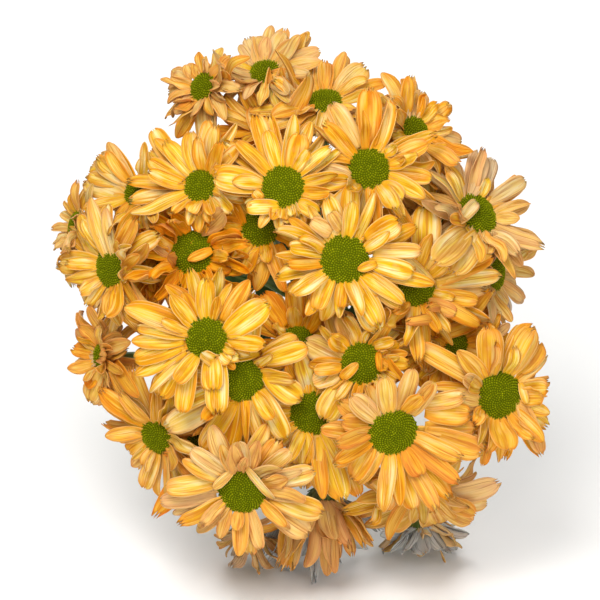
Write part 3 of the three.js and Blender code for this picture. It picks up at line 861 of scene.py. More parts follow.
# %% Crumpled petals
BY_HAND[11] = [
    ("sharp", -45.8, 26, -58.7, 20.8, 6, 5.4, 2, 0.8, {"cup_foot": 10, "cup": 20, "curl": 0}),
    ("thin", -46.3, 29.1, -26.5, 22.4, 7, 1, 12, 0.9, {"cup": 60, "roll": 30}),
    ("round", -63.4, 34.3, -78, 43.7, 9, 2.4, 30, 1, {"curl": 50, "cup": 100}),
    ("sharp", -58.2, 35.4, -66.6, 44.7, 8, 2.8, 40, 1, {"curl": 60, "cup": 90}),
    ("round", -52.5, 35.9, -54.1, 46.3, 9, 2.2, 30, 0.9, {"curl": 40, "twist": 40}),
    ("cut", -68.6, 23.9, -78, 31.2, 8, 2, 20, 0.7, 0.35, {"cup": 80}),
    ("sharp", -67.6, 19.2, -72.8, 8.8, 8, 1.4, 10, 0.9, {"twist": 40}),
    ("broad", -52, 35.4, -39.5, 45.8, 9, 2, 40, 0.7, 0.3, {"curl": 30}),
    ("cut", -61.4, 36.4, -68.6, 43.7, 8, 2, 24, 1, {"ruffle": 1.4}),
    ("round", -57.2, 38.5, -59.3, 48.4, 8, 2, 30, 0.9, {"ruffle": 1.4, "curl": 30}),
    ("sharp", -66.6, 19.8, -73.8, 14.6, 7, 2, 24, 0.9, {"ruffle": 1}),
    ("broad", -45.8, 31.2, -33.3, 28.1, 9, 1.6, 16, 0.9, {"ruffle": 1.2}),
    ("round", -47.8, 19.8, -35.4, 16.6, 9, 1, 12, 1, {"ruffle": 1}),
    ("sharp", -63.4, 16.6, -66.6, 5.2, 7, 1.2, 12, 1),
]
BY_HAND[12] = [
    ("broad", -30.2, 38.5, -44.7, 67.6, 10.5, 1.8, 24, 1, {"cup": 60, "roll": -20}),
    ("sharp", -25, 27.6, -35.9, 12.5, 9.5, 1, 6, 0.7, {"twist": 30}),
    ("sharp", -16.6, 27.6, -22.9, 4.7, 10, 1, 6, 0.8, {"twist": -30}),
    ("round", -19.8, 26, -27, 19.8, 8, 1.6, 20, 0.3),
    ("cut", -12.5, 29.1, -9.9, 15.6, 9, 0.6, 4, 0.9),
    ("round", -16.6, 28.1, -25, 8.3, 9, 0.6, 8, 0.9),
    ("sharp", -11.4, 29.1, -5.2, 12.5, 8, 0.4, 8, 0.9),
]
BY_HAND[21] = [
    ("broad", -7.3, -13.5, -19.2, 3.6, 10, 1, 14, 0.9),
    ("round", -9.4, -17.7, -27.6, 2.1, 10, 0.6, 10, 0.8),
    ("round", 4.2, -15.6, 13, -1, 10, 1, 14, 0.7),
]
BY_HAND[22] = [
    ("broad", 64.5, 14.6, 65.5, 49.4, 14, 2.2, 16, 0.1),
    ("broad", 68.6, 12.5, 86.3, 39.5, 12.5, 1.4, 14, 0.1),
    ("broad", 59.3, 15.1, 54.6, 35.4, 11, 1.8, 16, 0.4),
    ("thin", 69.7, 7.8, 51, 25, 8.5, 3.2, 10, 0, 0.3, {"roll": 20}),
    ("round", 71.2, 8.3, 104, 13, 9.5, 1.4, 14, 0, 0.15),
    ("round", 69.7, 3.1, 92.6, -0.5, 9, 1.4, 14, 0.6),
    ("round", 65.5, -1, 81.1, -6.8, 8.5, 1.2, 14, 0.8, 0.2),
    ("cut", 70.7, 5.2, 96.7, 5.2, 9, 0.6, 8, 0.4, 0.3),
]
BY_HAND[25] = [
    ("round", 72.8, -18.7, 92.6, -11.4, 8, 2, 20, 0.7),
    ("round", 70.7, -21.3, 65, -37.4, 9.5, 3, 18, 0, 0.25, {"cup": 50}),
    ("sharp", 81.1, -32.2, 90.5, -29.1, 7, 2, 24, 0.1, 0.3),
    ("broad", 74.4, -29.6, 71.2, -48.4, 10, 1.2, 14, 0.7, {"cup": 50}),
    ("round", 78, -31.2, 82.2, -49.4, 10, 1, 12, 0.6, 0.25),
    ("thin", 96.7, -23.4, 110.8, -12.5, 8, 1, 12, None, 0.5),
    ("sharp", 93.6, -17.7, 106.1, -6.2, 8, 1, 12, 0.4, 0.4),
    ("sharp", 77, -26, 72.8, -45.8, 9, 0.8, 6, 0.85),
]
BY_HAND[26] = [
    ("round", 61.4, -14, 67.6, -2.6, 9, 2, 50, 1, {"curl": 90, "cup": 110}),
    ("round", 62.9, -11.4, 73.3, -7.3, 9, 2.4, 55, 1, {"curl": 100, "cup": 120}),
    ("sharp", 61.9, -15.6, 59.3, -6.2, 8, 2.8, 60, 1, {"curl": 90, "cup": 110}),
    ("broad", 64.5, -15.6, 76.4, -23.9, 9, 1.4, 16, 0.9),
    ("broad", 59.3, -18.2, 54.1, -9.4, 6, 2.4, 30, 0.8),
    ("thin", 52, -21.8, 43.7, -9.4, 6, 1.6, 24, 0.9),
    ("thin", 53, -23.9, 43.7, -15.6, 5.5, 1.6, 24, 1),
    ("thin", 52, -27, 41.6, -28.1, 5.5, 1.4, 18, 1),
    ("sharp", 60.3, -22.9, 66, -47.3, 9.5, 0.6, 4, 0.9),
    ("thin", 58.2, -23.4, 56.7, -43.7, 8.5, 1.2, 8, 0.95, {"twist": 40}),
]
BY_HAND[34] = [
    ("round", -78, 23.4, -83.2, 37.4, 10, 6, 30, 1, {"curl": 60, "cup": 110, "ruffle": 1.4}),
    ("broad", -72.8, 26, -71.8, 41.6, 10, 7, 36, 0.9, {"curl": 70, "cup": 100, "twist": 50}),
    ("sharp", -70.2, 18.2, -60.8, 23.4, 9, 6, 40, 1, {"curl": 50, "cup": 90, "twist": -60}),
    ("round", -84.2, 20.8, -94.6, 29.6, 9, 6, 30, 0.8, 0.3, {"curl": 70, "cup": 110}),
    ("cut", -80.6, 15.6, -88.4, 3.6, 9, 6, 24, 0.9, {"curl": 50, "cup": 80, "ruffle": 1.2}),
    ("sharp", -74.4, 14.6, -68.6, 2.6, 9, 7, 30, 1, {"curl": 60, "cup": 100, "twist": 40}),
    ("round", -83.2, 31.2, -97.2, 45.2, 9, 6, 30, 1, {"curl": 40, "cup": 80, "ruffle": 1.6}),
    ("cut", -78, 32.2, -85.3, 47.8, 8, 6, 34, 1, {"curl": 50, "cup": 70, "ruffle": 1.6}),
    ("sharp", -75.4, 31.2, -71.8, 43.7, 7, 7, 34, 0.9, {"curl": 40, "cup": 90, "ruffle": 1.2}),
    ("sharp", -79, 25, -89.4, 27, 7, 8, 30, 1, {"curl": 50, "cup": 100, "ruffle": 1.4}),
    ("round", -77, 22.9, -83.2, 14.6, 7, 8, 34, 0.9, {"curl": 60, "cup": 90, "ruffle": 1.4}),
    ("thin", -74.9, 21.8, -68.6, 15.6, 6, 7, 30, 1, {"curl": 30, "cup": 80}),
    ("sharp", -80.1, 28.1, -78, 38.5, 7, 9, 40, 1, {"curl": 60, "cup": 110, "ruffle": 1.2}),
    ("round", -82.2, 19.8, -90.5, 5.2, 9, 5, 20, 0.7, {"ruffle": 1.4, "cup": 50}),
    ("thin", -78, 17.7, -77, 4.2, 7, 6, 24, 0.9, {"cup": 70, "ruffle": 1}),
]
print(sum(map(len, BY_HAND.values())), "with the crumpled ones")

# %% [markdown]
# Round the edge the flowers turn away, and some of their petals show the grey back, which is partly painted shade.

# %% Petals at the edge
BY_HAND[1] = [
    ("round", -58.2, 116.5, -67.6, 120.6, 8.5, 1, 12, 0.4, 0.3),
    ("round", -57.2, 118.6, -60.3, 125.8, 8, 1.2, 14, 0.4, 0.3),
    ("sharp", -57.2, 108.2, -66.6, 98.8, 8, 1, 12, 0.4, 0.4),
    ("broad", -59.3, 112.3, -70.2, 111.3, 9.5, 1, 12, 0.4, 0.35),
    ("sharp", -58.2, 116.5, -68.6, 123.2, 9, 0.8, 12, 0.5, 0.3),
]
BY_HAND[2] = [
    ("round", -11.4, 121.7, 10.4, 132.1, 9, 1, 12, None, 0.45),
    ("thin", -19.8, 125.8, -15.1, 146.6, 9, 1.6, 14, 0.1, 0.35),
    ("sharp", -22.9, 125.8, -21.3, 140.9, 8.5, 1.4, 14, 0.2, 0.4),
    ("round", -17.2, 125.8, -8.8, 142.5, 8.5, 1, 12, 0.1, 0.4),
    ("sharp", -14.6, 124.8, -2.6, 138.8, 8.5, 1.2, 12, 0.2, 0.3),
    ("sharp", -12.5, 123.8, 5.7, 139.9, 9, 0.8, 10, 0.3, 0.3),
    ("thin", -25, 124.8, -32.2, 136.2, 8, 1, 12, None, 0.5),
    ("round", -26.5, 122.7, -33.3, 130, 9, 0.6, 10, None, 0.6),
    ("cut", -21.8, 125.8, -28.1, 140.4, 8.5, 0.6, 10, None, 0.5),
    ("sharp", -11.4, 121.7, 11.4, 125.8, 9, 0.8, 10, 0.3, 0.3),
]
BY_HAND[3] = [
    ("broad", 4.7, 108.2, -15.6, 119.6, 11, 1.4, 14, 0.7),
    ("broad", 5.7, 104, -9.4, 107.1, 10, 1.2, 12, 0.1, 0.35),
    ("broad", 11.4, 110.2, 14, 125.8, 11, 1.4, 14, 0.2, 0.15),
    ("broad", 19.8, 109.2, 34.8, 123.2, 11.5, 1.4, 14, 0.1, 0.25),
    ("broad", 7.3, 109.2, 1.6, 125.8, 10.5, 1.6, 14, 0.3),
    ("round", 21.3, 106.1, 44.7, 114.4, 9, 1, 12, 0.7, {"cup": 80}),
    ("round", 17.7, 110.2, 23.9, 130.5, 9, 0.8, 10, 0.6),
    ("thin", 16.6, 110.2, 23.9, 132.1, 8.5, 1.6, 14, 0.6),
    ("round", 19.8, 108.2, 36.9, 114.4, 10.5, 1.2, 12, 0.1, 0.2),
    ("round", 18.7, 109.2, 33.3, 123.8, 10.5, 0.8, 10, 0.2, 0.15),
]
BY_HAND[4] = [
    ("round", 67.6, 93.1, 79.6, 104, 8.5, 1, 12, 0.4),
    ("round", 67.6, 87.4, 85.3, 84.2, 8.5, 1.2, 14, None, 0.4),
    ("sharp", 66, 78.5, 92, 78, 9.5, 1.2, 12, 0.2),
    ("broad", 58.8, 95.7, 64.5, 110.2, 9, 1.2, 18, 0.2, 0.45),
    ("thin", 54.6, 94.6, 55.1, 114.4, 7.5, 1.4, 18, None, 0.7),
    ("round", 53, 91.5, 46.8, 105, 8, 1.8, 26, 0.2, 0.5),
    ("broad", 58.8, 78.5, 66.6, 66.6, 10, 2, 20, 0.1, 0.35, {"cup": 60}),
    ("sharp", 54.1, 83.2, 48.9, 73.8, 8, 2.2, 24, 0.3, 0.3),
    ("thin", 58.2, 94.6, 59.8, 118, 7, 1, 12, None, 0.6),
    ("round", 69.7, 93.6, 79.6, 104, 7, 2.2, 20, 0.4),
    ("sharp", 56.2, 93.6, 53, 108.2, 7, 1, 12, None, 0.5),
]
BY_HAND[7] = [
    ("round", -62.4, 66.6, -77, 89.4, 11, 0, 8, 0.2),
    ("round", -63.4, 64.5, -78.5, 78.5, 10, 0.4, 10, 0.3),
]
BY_HAND[8] = [
    ("broad", -89.4, 62.4, -106.1, 76.4, 12.5, 1.4, 12, 0, 0.25),
    ("broad", -92.6, 55.6, -114.4, 63.4, 12.5, 1.6, 12, 0.1, 0.2),
    ("thin", -88.4, 63.4, -100.9, 82.7, 8, 1, 12, None, 0.3),
    ("round", -91.5, 60.3, -109.2, 70.2, 10, 0.6, 8, None, 0.2),
    ("round", -94.6, 62.4, -112.3, 67.1, 11.5, 1.6, 12, 0.1),
    ("round", -95.2, 58.8, -114.9, 60.3, 10.5, 1.2, 12, 0.1, 0.2),
    ("round", -93.6, 65, -106.6, 77.5, 11, 1.2, 12, 0.2),
    ("round", -94.6, 63.4, -110.8, 72.3, 11, 0.8, 10, 0.1, 0.2),
    ("round", -91, 53, -104.5, 50.4, 10, 1, 10, 0.4),
    ("cut", -88.4, 51, -95.2, 40.6, 9, 0.8, 10, 0.8),
    ("thin", -92.6, 66.6, -101.9, 83.7, 8, 1.4, 14, 0.1, 0.3),
]
BY_HAND[9] = [
    ("round", -87.9, 16.6, -93.6, 10.4, 7.5, 2.6, 14, 0, {"cup": 60}),
    ("broad", -105.6, 19.8, -128.4, 19.8, 11.5, 1.2, 12, 0.1),
    ("broad", -104.5, 7.8, -112.8, -2.1, 11, 1, 12, 0, 0.45),
    ("broad", -105, 9.4, -113.4, 0, 11, 0.6, 8, 0, 0.5),
    ("sharp", -99.8, 19.8, -110.2, 54.1, 9.5, 1.6, 14, 0.1, 0.2),
    ("thin", -96.7, 19.8, -101.9, 48.4, 9, 1.2, 14, 0.1, 0.35),
    ("sharp", -93.6, 16.6, -83.2, 23.4, 7, 2, 20, 0.7),
]
BY_HAND[23] = [
    ("broad", 87.4, 35.9, 69.2, 19.2, 13.5, 1.6, 12, 0),
    ("broad", 93.6, 34.8, 79, 14, 12.5, 1, 8, 0.1, 0.15),
    ("round", 98.3, 34.8, 97.2, 24.4, 9, 1.8, 18, 0, 0.25),
    ("broad", 88.4, 54.1, 95.2, 78.5, 11.5, 1.2, 12, None, 0.65),
    ("round", 93.6, 54.1, 102.4, 74.9, 9, 0.8, 10, None, 0.7),
    ("round", 99.8, 52, 119.6, 64, 9.5, 1.2, 12, 0.1, 0.5),
    ("sharp", 101.9, 44.2, 121.7, 51, 9.5, 1.2, 12, 0.2, 0.3),
    ("thin", 85.3, 53, 82.2, 72.8, 8, 1.6, 14, None, 0.6),
    ("sharp", 93.6, 54.6, 98.8, 75.4, 8, 1, 12, None, 0.7),
    ("sharp", 102.4, 52, 118.6, 65, 8.5, 1, 12, None, 0.35),
    ("round", 82.2, 40.6, 92.6, 51.5, 7.5, 4.6, 12, 0, 0.45, {"cup": 50}),
]
BY_HAND[24] = [
    ("sharp", 111.8, 22.9, 127.9, 27.6, 9, 1.4, 12, 0.5),
    ("sharp", 110.2, 26, 125.8, 32.8, 9, 1.2, 12, None, 0.6),
    ("thin", 112.3, 15.6, 126.4, 13.5, 8, 1.6, 14, None, 0.35, {"sweep": -24}),
    ("sharp", 110.2, 8.3, 119.6, -1.6, 8.5, 1, 12, None, 0.7),
    ("thin", 106.6, 5.2, 111.8, -7.3, 7, 0.8, 10, None, 0.8),
]
BY_HAND[27] = [
    ("round", -75.4, -80.6, -82.7, -99.8, 10, 0.8, 10, 0.3),
    ("sharp", -79, -78, -89.4, -88.4, 8, 0.8, 10, None, 0.3),
]
BY_HAND[28] = [
    ("thin", -100.4, -20.8, -95.2, -7.3, 7, 1.4, 18, 0.4),
    ("round", -106.6, -31.7, -119.6, -35.4, 7.5, 1, 10, None, 0.65),
    ("broad", -101.9, -35.4, -111.3, -54.6, 12, 1, 8, 0.4, 0.2),
    ("sharp", -97.8, -32.2, -83.7, -50.4, 9, 1, 10, 0.9),
    ("sharp", -105, -27, -88.4, -21.8, 9, 1, 12, 0.6),
    ("thin", -105, -32.2, -92.6, -38, 7, 1, 12, 0.6),
    ("broad", -105, -39, -108.7, -55.6, 11, 0.8, 8, 0.5),
    ("sharp", -108.2, -32.2, -119.6, -35.4, 8, 0.8, 10, None, 0.5),
    ("sharp", -108.2, -26, -120.1, -15.6, 7.5, 0.8, 10, None, 0.4),
    ("thin", -108.2, -28.1, -119.6, -23.4, 7, 1.2, 12, None, 0.5),
]
BY_HAND[30] = [
    ("round", 78, -106.1, 99.3, -108.2, 10, 1.2, 12, 0.1, 0.45),
    ("round", 75.9, -110.2, 92, -119.1, 10.5, 1, 10, 0.2, 0.25),
    ("broad", 59.8, -111.8, 45.8, -120.1, 12, 1, 6, 0.2, 0.2),
    ("thin", 54.1, -105.6, 23.9, -110.2, 7.5, 0.4, 4, 0.3, 0.3),
    ("sharp", 57.2, -108.2, 34.3, -121.2, 9, 1, 4, 0.2, 0.2),
    ("broad", 67.6, -108.2, 73.3, -120.6, 13, 1.4, 4, 0.4, 0.2),
    ("broad", 72.8, -104, 104, -95.2, 12, 1.2, 14, None, 0.6),
    ("round", 72.8, -106.6, 101.4, -100.9, 9, 0.8, 10, 0.3, 0.3),
]
BY_HAND[31] = [
    ("broad", -19.8, 84.8, -23.9, 102.4, 10.5, 3.4, 14, 0.5),
    ("broad", -15.1, 84.2, -15.6, 103.5, 10.5, 3, 14, 0.8),
    ("sharp", -10.9, 85.3, -6.8, 99.8, 9.5, 3.4, 14, 0.6),
]
print(sum(map(len, BY_HAND.values())), "petals placed by hand")

# %% [markdown]
# ## Aiming a petal
# A row says where a petal's tip is seen, but the petal is bent, so its tip first lands
# a little beside that place. It is bent, measured, turned about its foot and lengthened,
# four times over.

# %% Aimed petals
ENDS = np.array([(0.0, 0.0, 0.0), (PETAL_LENGTH, 0.0, 0.0)])
SHORTEST, LONGEST = 0.75, 1.3  # an aimed petal, by its first length
PLACED = {"sure": True, "start": 14, "curl": -14, "roll": 6, "cup_foot": 34, "cup": 16, "ruffle": 0.3}


def between_turns(a, b):
    """The turn from b to a, the short way round."""
    return math.remainder(a - b, 2 * math.pi)


def steered(petal, flower, shift=0.0):
    """Turns the petal about its foot, and lengthens it, until its tip is seen where it should be."""
    for _ in range(4):
        foot, end = (Vector(v) for v in petal.bent(ENDS, shift))
        goal = flower.in_plane(petal.aim, end.z - RIM_HEIGHT - flower.dome)
        have, want = end.xy - foot.xy, goal - foot.xy
        petal.veer += math.degrees(between_turns(math.atan2(want.y, want.x), math.atan2(have.y, have.x)))
        longer = petal.length * want.length / max(1.0, have.length)
        petal.length = min(LONGEST * petal.first_length, max(SHORTEST * petal.first_length, longer))


def roll_to_viewer(flower, heading):
    """The roll, in degrees, that would turn a petal with this heading flat to the viewer."""
    viewer = flower.viewer
    sideways = -viewer.x * math.sin(heading) + viewer.y * math.cos(heading)
    return -math.degrees(math.atan2(sideways, max(0.15, viewer.z)))


def mean_pitch(pitch, curl):
    """In radians. The curl grows with the square of the way along, so a third of it counts."""
    return math.radians(pitch + curl / 3)


def odd_petals_of(flower):
    """The flower's petals that are listed one by one."""
    made = []
    for shape, foot_x, foot_y, tip_x, tip_y, width, height, pitch, *rest in BY_HAND.get(flower.number, []):
        more = rest.pop() if rest and isinstance(rest[-1], dict) else {}
        warm, grey = (*rest, None, None)[:2]
        seen_foot, seen_tip = (foot_x, foot_y), (tip_x, tip_y)
        measures = {**PLACED, "aim": seen_tip, "warm": warm, "grey": grey, **more}
        mean = mean_pitch(pitch, measures["curl"])
        over_plane = height - RIM_HEIGHT - flower.dome
        foot = flower.in_plane(seen_foot, over_plane)
        rise = (flower.in_plane(seen_tip) - foot).length * math.sin(min(mean, 0.6))
        tip = flower.in_plane(seen_tip, over_plane + rise)
        heading = math.atan2(tip.y - foot.y, tip.x - foot.x)
        turn = math.atan2(foot.y, foot.x)
        measures["veer"] = math.degrees(between_turns(heading, turn))
        measures["roll"] += 0.6 * roll_to_viewer(flower, heading)
        length = (tip - foot).length / max(0.4, math.cos(mean))
        made.append(Petal(shape, turn, length, width, foot.length, height, pitch, **measures))
    return made


print("petals placed by hand on the foremost flower:", len(odd_petals_of(HEADS[12])))

# %% [markdown]
# ## Staying in the outline
# Most petals follow chance, so they need limits. A petal whose tip would stand out of
# the head's outline is made shorter, and so is one on a side that is listed as short.

# %% Outline and short sides
def in_outline(x, y):
    """Whether a line to the right of the point crosses the outline an odd number of times."""
    inside = False
    for (ax, ay), (bx, by) in zip(HEAD_OUTLINE, HEAD_OUTLINE[1:] + HEAD_OUTLINE[:1]):
        if (ay > y) != (by > y) and x < ax + (bx - ax) * (y - ay) / (by - ay):
            inside = not inside
    return inside


def kept_in_outline(flower, turn, reach, lift):
    """A shorter reach where the petal's tip would stand out of the outline of the head."""
    for _ in range(8):
        tip = flower.centre + flower.turn @ (Vector((math.cos(turn), math.sin(turn), lift)) * reach)
        if in_outline(tip.x, tip.y):
            break
        reach *= 0.93
    return reach


def short_share(flower, turn):
    """The share of the reach that a petal has on this side of the flower."""
    for number, side_from, side_to, share in SHORT_SIDES:
        if number == flower.number and (math.degrees(turn) - side_from) % 360 < side_to - side_from:
            return share
    return 1.0


print("foremost disc in the outline:", in_outline(HEADS[12].centre.x, HEADS[12].centre.y))

# %% [markdown]
# ## Which petals a flower has
# The petals stand in two rows, the inner one higher and between those of the outer one, with a few short ones inside
# them. They start at even turns. A listed petal takes the place of its nearest neighbour, and a petal near a listed tip
# takes that tip's direction and reach.

# %% Places of petals
OUTER_SHARE = 0.53  # of the petals in the two long rows
# spiky flowers have more petals, and sharper ones; wide flowers have broader petals
SPIKY = {1, 2, 4, 9, 10, 12, 16, 23, 24, 25, 26, 27, 28, 29, 30, 31, 32, 34}
NEAT = {6, 13, 14, 15, 17}
WIDE = {15, 16, 17, 18}


def jitter(amount):
    """Chance about zero. Two thirds of the draws are smaller than the amount."""
    return float(CHANCE.normal(0, amount))


def messy(flower):
    return flower.mess * (1.0 if flower.number in NEAT else 1.2)


def places_of(flower, odd):
    """[row, turn, known reach, known tip] of each petal that isn't listed."""
    mess = messy(flower)
    more = 1.18 if flower.number in SPIKY else 1.06 if flower.number in WIDE else 1.14
    count = round(flower.petals * more)
    outer = round(count * OUTER_SHARE)
    places = []
    for row, count in ((0, outer), (1, count - outer), (2, round(6 * mess))):
        first = CHANCE.uniform(0, 2 * math.pi / count) if row != 1 else places[0][1] + math.pi / outer
        spread = 0.05 + 0.05 * mess
        places += [[row, first + 2 * math.pi * k / count + jitter(spread), None, None] for k in range(count)]
    for petal in odd:
        if abs(petal.veer) < 35 and petal.foot + petal.length > 0.7 * (flower.disc + flower.reach):
            long_ones = [p for p in places if p[0] < 2]
            places.remove(min(long_ones, key=lambda p: abs(between_turns(p[1], petal.turn))))
    for tip in TIPS.get(flower.number, []):
        turn, reach = flower.turn_and_reach(tip)
        free = [p for p in places if p[2] is None and p[0] < 2]
        nearest = min(free, key=lambda p: abs(between_turns(p[1], turn)) + 0.08 * p[0])
        nearest[1:] = [turn, reach, tip]
    return places


# %% [markdown]
# ## Petals that follow chance
# Each petal is rolled a little, so that one edge slips under its neighbour, and chance
# moves every measure by as much as the flower is untidy. A flower that leans away hides
# the undersides of its near petals, so those don't rise past the line of sight. A few
# petals are strange: they close to a channel or twist further than the others.

# %% Petals of a flower
SHAPES = ["round", "cut", "sharp", "thin", "broad"]
LIKELY = [0.16, 0.34, 0.28, 0.08, 0.14]
LIKELY_SPIKY = [0.10, 0.24, 0.42, 0.18, 0.06]
# by row: outer, inner and short petals
ROW_PITCH, ROW_START = (-9, 5, 24), (6, 14, 30)
ROW_REACH, ROW_FOOT, ROW_HEIGHT = (1.02, 0.88, 0.68), (0.70, 0.80, 0.90), (-0.9, 0.5, 1.4)
LEAST_REACH, MOST_REACH, MOST_TWIST = 0.5, 1.35, 60.0
USUAL_WIDTH, BROAD_WIDTH = 9.3, 10.4  # millimetres, of a petal that is 30 long
BELL, CLOSED_BELL = 0.8, 1.5  # rises from which a flower counts as a bell
CRUMPLED = 1.35  # disorder from which a flower is crumpled
CHANNEL = 85  # how far the edges of a strange petal close at its tip
# how far each measure strays: in a perfect flower, and how much more with disorder
STRAYS = {
    "pitch": (3, 6), "curl": (8, 14), "reach": (0.03, 0.05), "sweep": (5, 10), "roll": (3, 7),
    "twist": (7, 22), "cup": (12, 14), "fold": (5, 12), "ruffle": (0.15, 0.6), "kink": (4, 16),
}


def toward_viewer(flower, turn):
    """1 for a petal on the side of a leaning flower that is nearest to the viewer, -1 on the far side."""
    return math.cos(turn - math.atan2(flower.viewer.y, flower.viewer.x)) if flower.lean > 12 else 0.0


def stray(measure, mess):
    least, more = STRAYS[measure]
    return jitter(least + more * mess)


def chance_petal(flower, row, turn, reach, tip):
    """One petal at its place, with everything else left to chance."""
    number, mess, bell = flower.number, messy(flower), flower.rise > BELL
    spiky, sure, usual = number in SPIKY, reach is not None, flower.disc + flower.reach
    pitch = math.degrees(math.atan(flower.rise)) + ROW_PITCH[row] + stray("pitch", mess)
    curl = stray("curl", mess) - 14
    if toward_viewer(flower, turn) > 0.3 and not bell:
        pitch = min(pitch, 0.62 * (90 - flower.lean))
    mean = mean_pitch(pitch, curl)
    if not sure:
        reach = usual * ROW_REACH[row] * (1 + stray("reach", mess)) * short_share(flower, turn)
        if not bell:
            reach = kept_in_outline(flower, turn, reach, 0.8 * math.tan(min(mean, 1.0)))
    reach = min(max(reach, LEAST_REACH * usual), MOST_REACH * usual)
    foot = ROW_FOOT[row] * flower.disc
    length = (reach - foot) / max(0.35, math.cos(mean))
    if bell:
        length = math.hypot(1, flower.rise) * flower.reach * short_share(flower, turn)
    direction = flower.turn @ Vector((math.cos(turn), math.sin(turn), 0))
    # petals that hang down behind a closed bell are longer and take the greyest colour, partly withered, partly painted
    # shade under the bell
    behind = flower.rise > CLOSED_BELL and direction.z < -0.1
    if behind:
        length *= 1.15
    shape = CHANCE.choice(SHAPES, p=LIKELY_SPIKY if spiky else LIKELY)
    width = (BROAD_WIDTH if number in WIDE else USUAL_WIDTH) * (length / PETAL_LENGTH) ** 0.35 * (1 + jitter(0.13))
    crumpled = mess > CRUMPLED
    strange = CHANCE.random() < (0.6 if crumpled else 0.2 * mess)
    return Petal(
        shape, turn, length, width, foot, ROW_HEIGHT[row], pitch,
        curl=curl,
        start=ROW_START[row],
        sweep=stray("sweep", mess),
        roll=9 + stray("roll", mess) + 0.35 * roll_to_viewer(flower, turn),
        twist=min(MOST_TWIST, max(-MOST_TWIST, stray("twist", mess) * (1.8 if strange else 1.0))),
        cup_foot=34 + jitter(8),
        cup=(CHANNEL if strange else 8) + stray("cup", mess),
        fold=max(0.0, stray("fold", mess)),
        ruffle=abs(stray("ruffle", mess)) + 0.8 * crumpled,
        phase=CHANCE.uniform(0, 6.3),
        kink=stray("kink", mess),
        dry_and_shaded=behind,
        sure=sure,
        aim=tip,
    )


def petals_of(flower):
    """All petals of a flower, the listed ones first."""
    odd = odd_petals_of(flower)
    return odd + [chance_petal(flower, *place) for place in places_of(flower, odd)]


# %% [markdown]
# ## Petals that cross others
# Petals of neighbouring flowers push each other aside. The foremost flower is placed
# first. Every later petal is tried at its own pitch and then bent further back or
# forward, and the first place where it meets nothing is kept. Coarse copies of the
# petals are enough for these tests.

# %% Coarse petals and crossings
COARSE_ROWS = [0.30, 0.42, 0.55, 0.68, 0.80, 0.91, 1.0]


def strip_faces(rows):
    """Faces of a strip of three points in each row."""
    return [(3 * r + c, 3 * r + c + 1, 3 * r + c + 4, 3 * r + c + 3) for r in range(rows - 1) for c in range(2)]


def coarse(widths):
    """A petal as a strip, from just off its foot to its tip."""
    spans = np.interp(COARSE_ROWS, ROW_PLACES, widths) * PETAL_WIDTH / 2
    return np.array([(r * PETAL_LENGTH, c * half, 0) for r, half in zip(COARSE_ROWS, spans) for c in (-1, 0, 1)])


COARSE = {name: coarse(outline[0]) for name, outline in OUTLINES.items()}
COARSE_FACES = strip_faces(len(COARSE_ROWS))


class Crowd:
    """What has been placed so far, as search trees with their boxes."""

    def __init__(self):
        self.trees = []

    def add(self, points, faces):
        self.trees.append((points.min(axis=0), points.max(axis=0), BVHTree.FromPolygons(points.tolist(), faces)))

    def crossings(self, points, tree):
        low, high = points.min(axis=0), points.max(axis=0)
        return sum(len(t.overlap(tree)) for a, b, t in self.trees if (low < b).all() and (a < high).all())


print("coarse petals:", {name: len(points) for name, points in COARSE.items()})

# %% [markdown]
# ## Petals on the floor
# The lowest flowers carry the bunch, and their petals press on the floor. So points
# near the floor are eased upwards, more gently the higher they are, and a petal that
# would go through the floor is bent away from it, as from a neighbour.

# %% Room for each petal
SHIFTS = [0, -5, 5, -10, 10, -16, -22, 16, -29, -36, -44, 24, -53, -62]  # degrees, in the order they are tried
SURE_SHIFTS = SHIFTS[:5]
HEIGHT_ROW = np.array(TO_FLOOR)[2]  # gives a point's height over the floor
NEAR_FLOOR, CLOSEST, EASING = 1.5, 0.15, 1.35  # millimetres
IN_FLOOR = 0.0003  # metres
FLOOR_COST = 60  # a point in the floor counts as so many crossings


def above_floor(points):
    """Low points eased upwards, so that a petal presses on the floor and doesn't dip into it."""
    heights = (points @ HEIGHT_ROW[:3] + HEIGHT_ROW[3]) / MM
    eased = np.where(heights < NEAR_FLOOR, CLOSEST + EASING * np.exp((heights - NEAR_FLOOR) / EASING), heights)
    return points + np.outer(eased - heights, HEIGHT_ROW[:3] / MM)


def into_floor(points):
    heights = points @ HEIGHT_ROW[:3] + HEIGHT_ROW[3]
    return FLOOR_COST * int((heights < IN_FLOOR).sum())


def settled(petal, flower, crowd, own):
    """What the petal crosses where it crosses least, its pitch shift there, and its coarse points."""
    best = None
    for shift in SURE_SHIFTS if petal.sure else SHIFTS:
        if petal.aim:
            steered(petal, flower, shift)
        points = placed(petal.bent(COARSE[petal.shape], shift), flower.frame)
        tree = BVHTree.FromPolygons(points.tolist(), COARSE_FACES)
        cost = crowd.crossings(points, tree) + own.crossings(points, tree) + into_floor(points)
        if best is None or cost < best[0]:
            best = (cost, shift, points)
        if cost == 0:
            break
    if petal.aim:
        steered(petal, flower, best[1])
    return best


def disc_blocker(flower):
    """A plain button that keeps other flowers' petals out of a disc and its cup."""
    # each ring's radius, as a share of the disc's, and its height
    rings = [(0.4, -8.0), (1.0, -1.0), (1.04, 1.0), (0.7, 1 + 0.8 * flower.dome), (0.05, 1.2 + flower.dome)]
    turns = np.arange(8) * math.pi / 4
    points = [(r * flower.disc * math.cos(a), r * flower.disc * math.sin(a), z) for r, z in rings for a in turns]
    return placed(np.array(points), flower.frame), ring_faces(len(rings), 8)


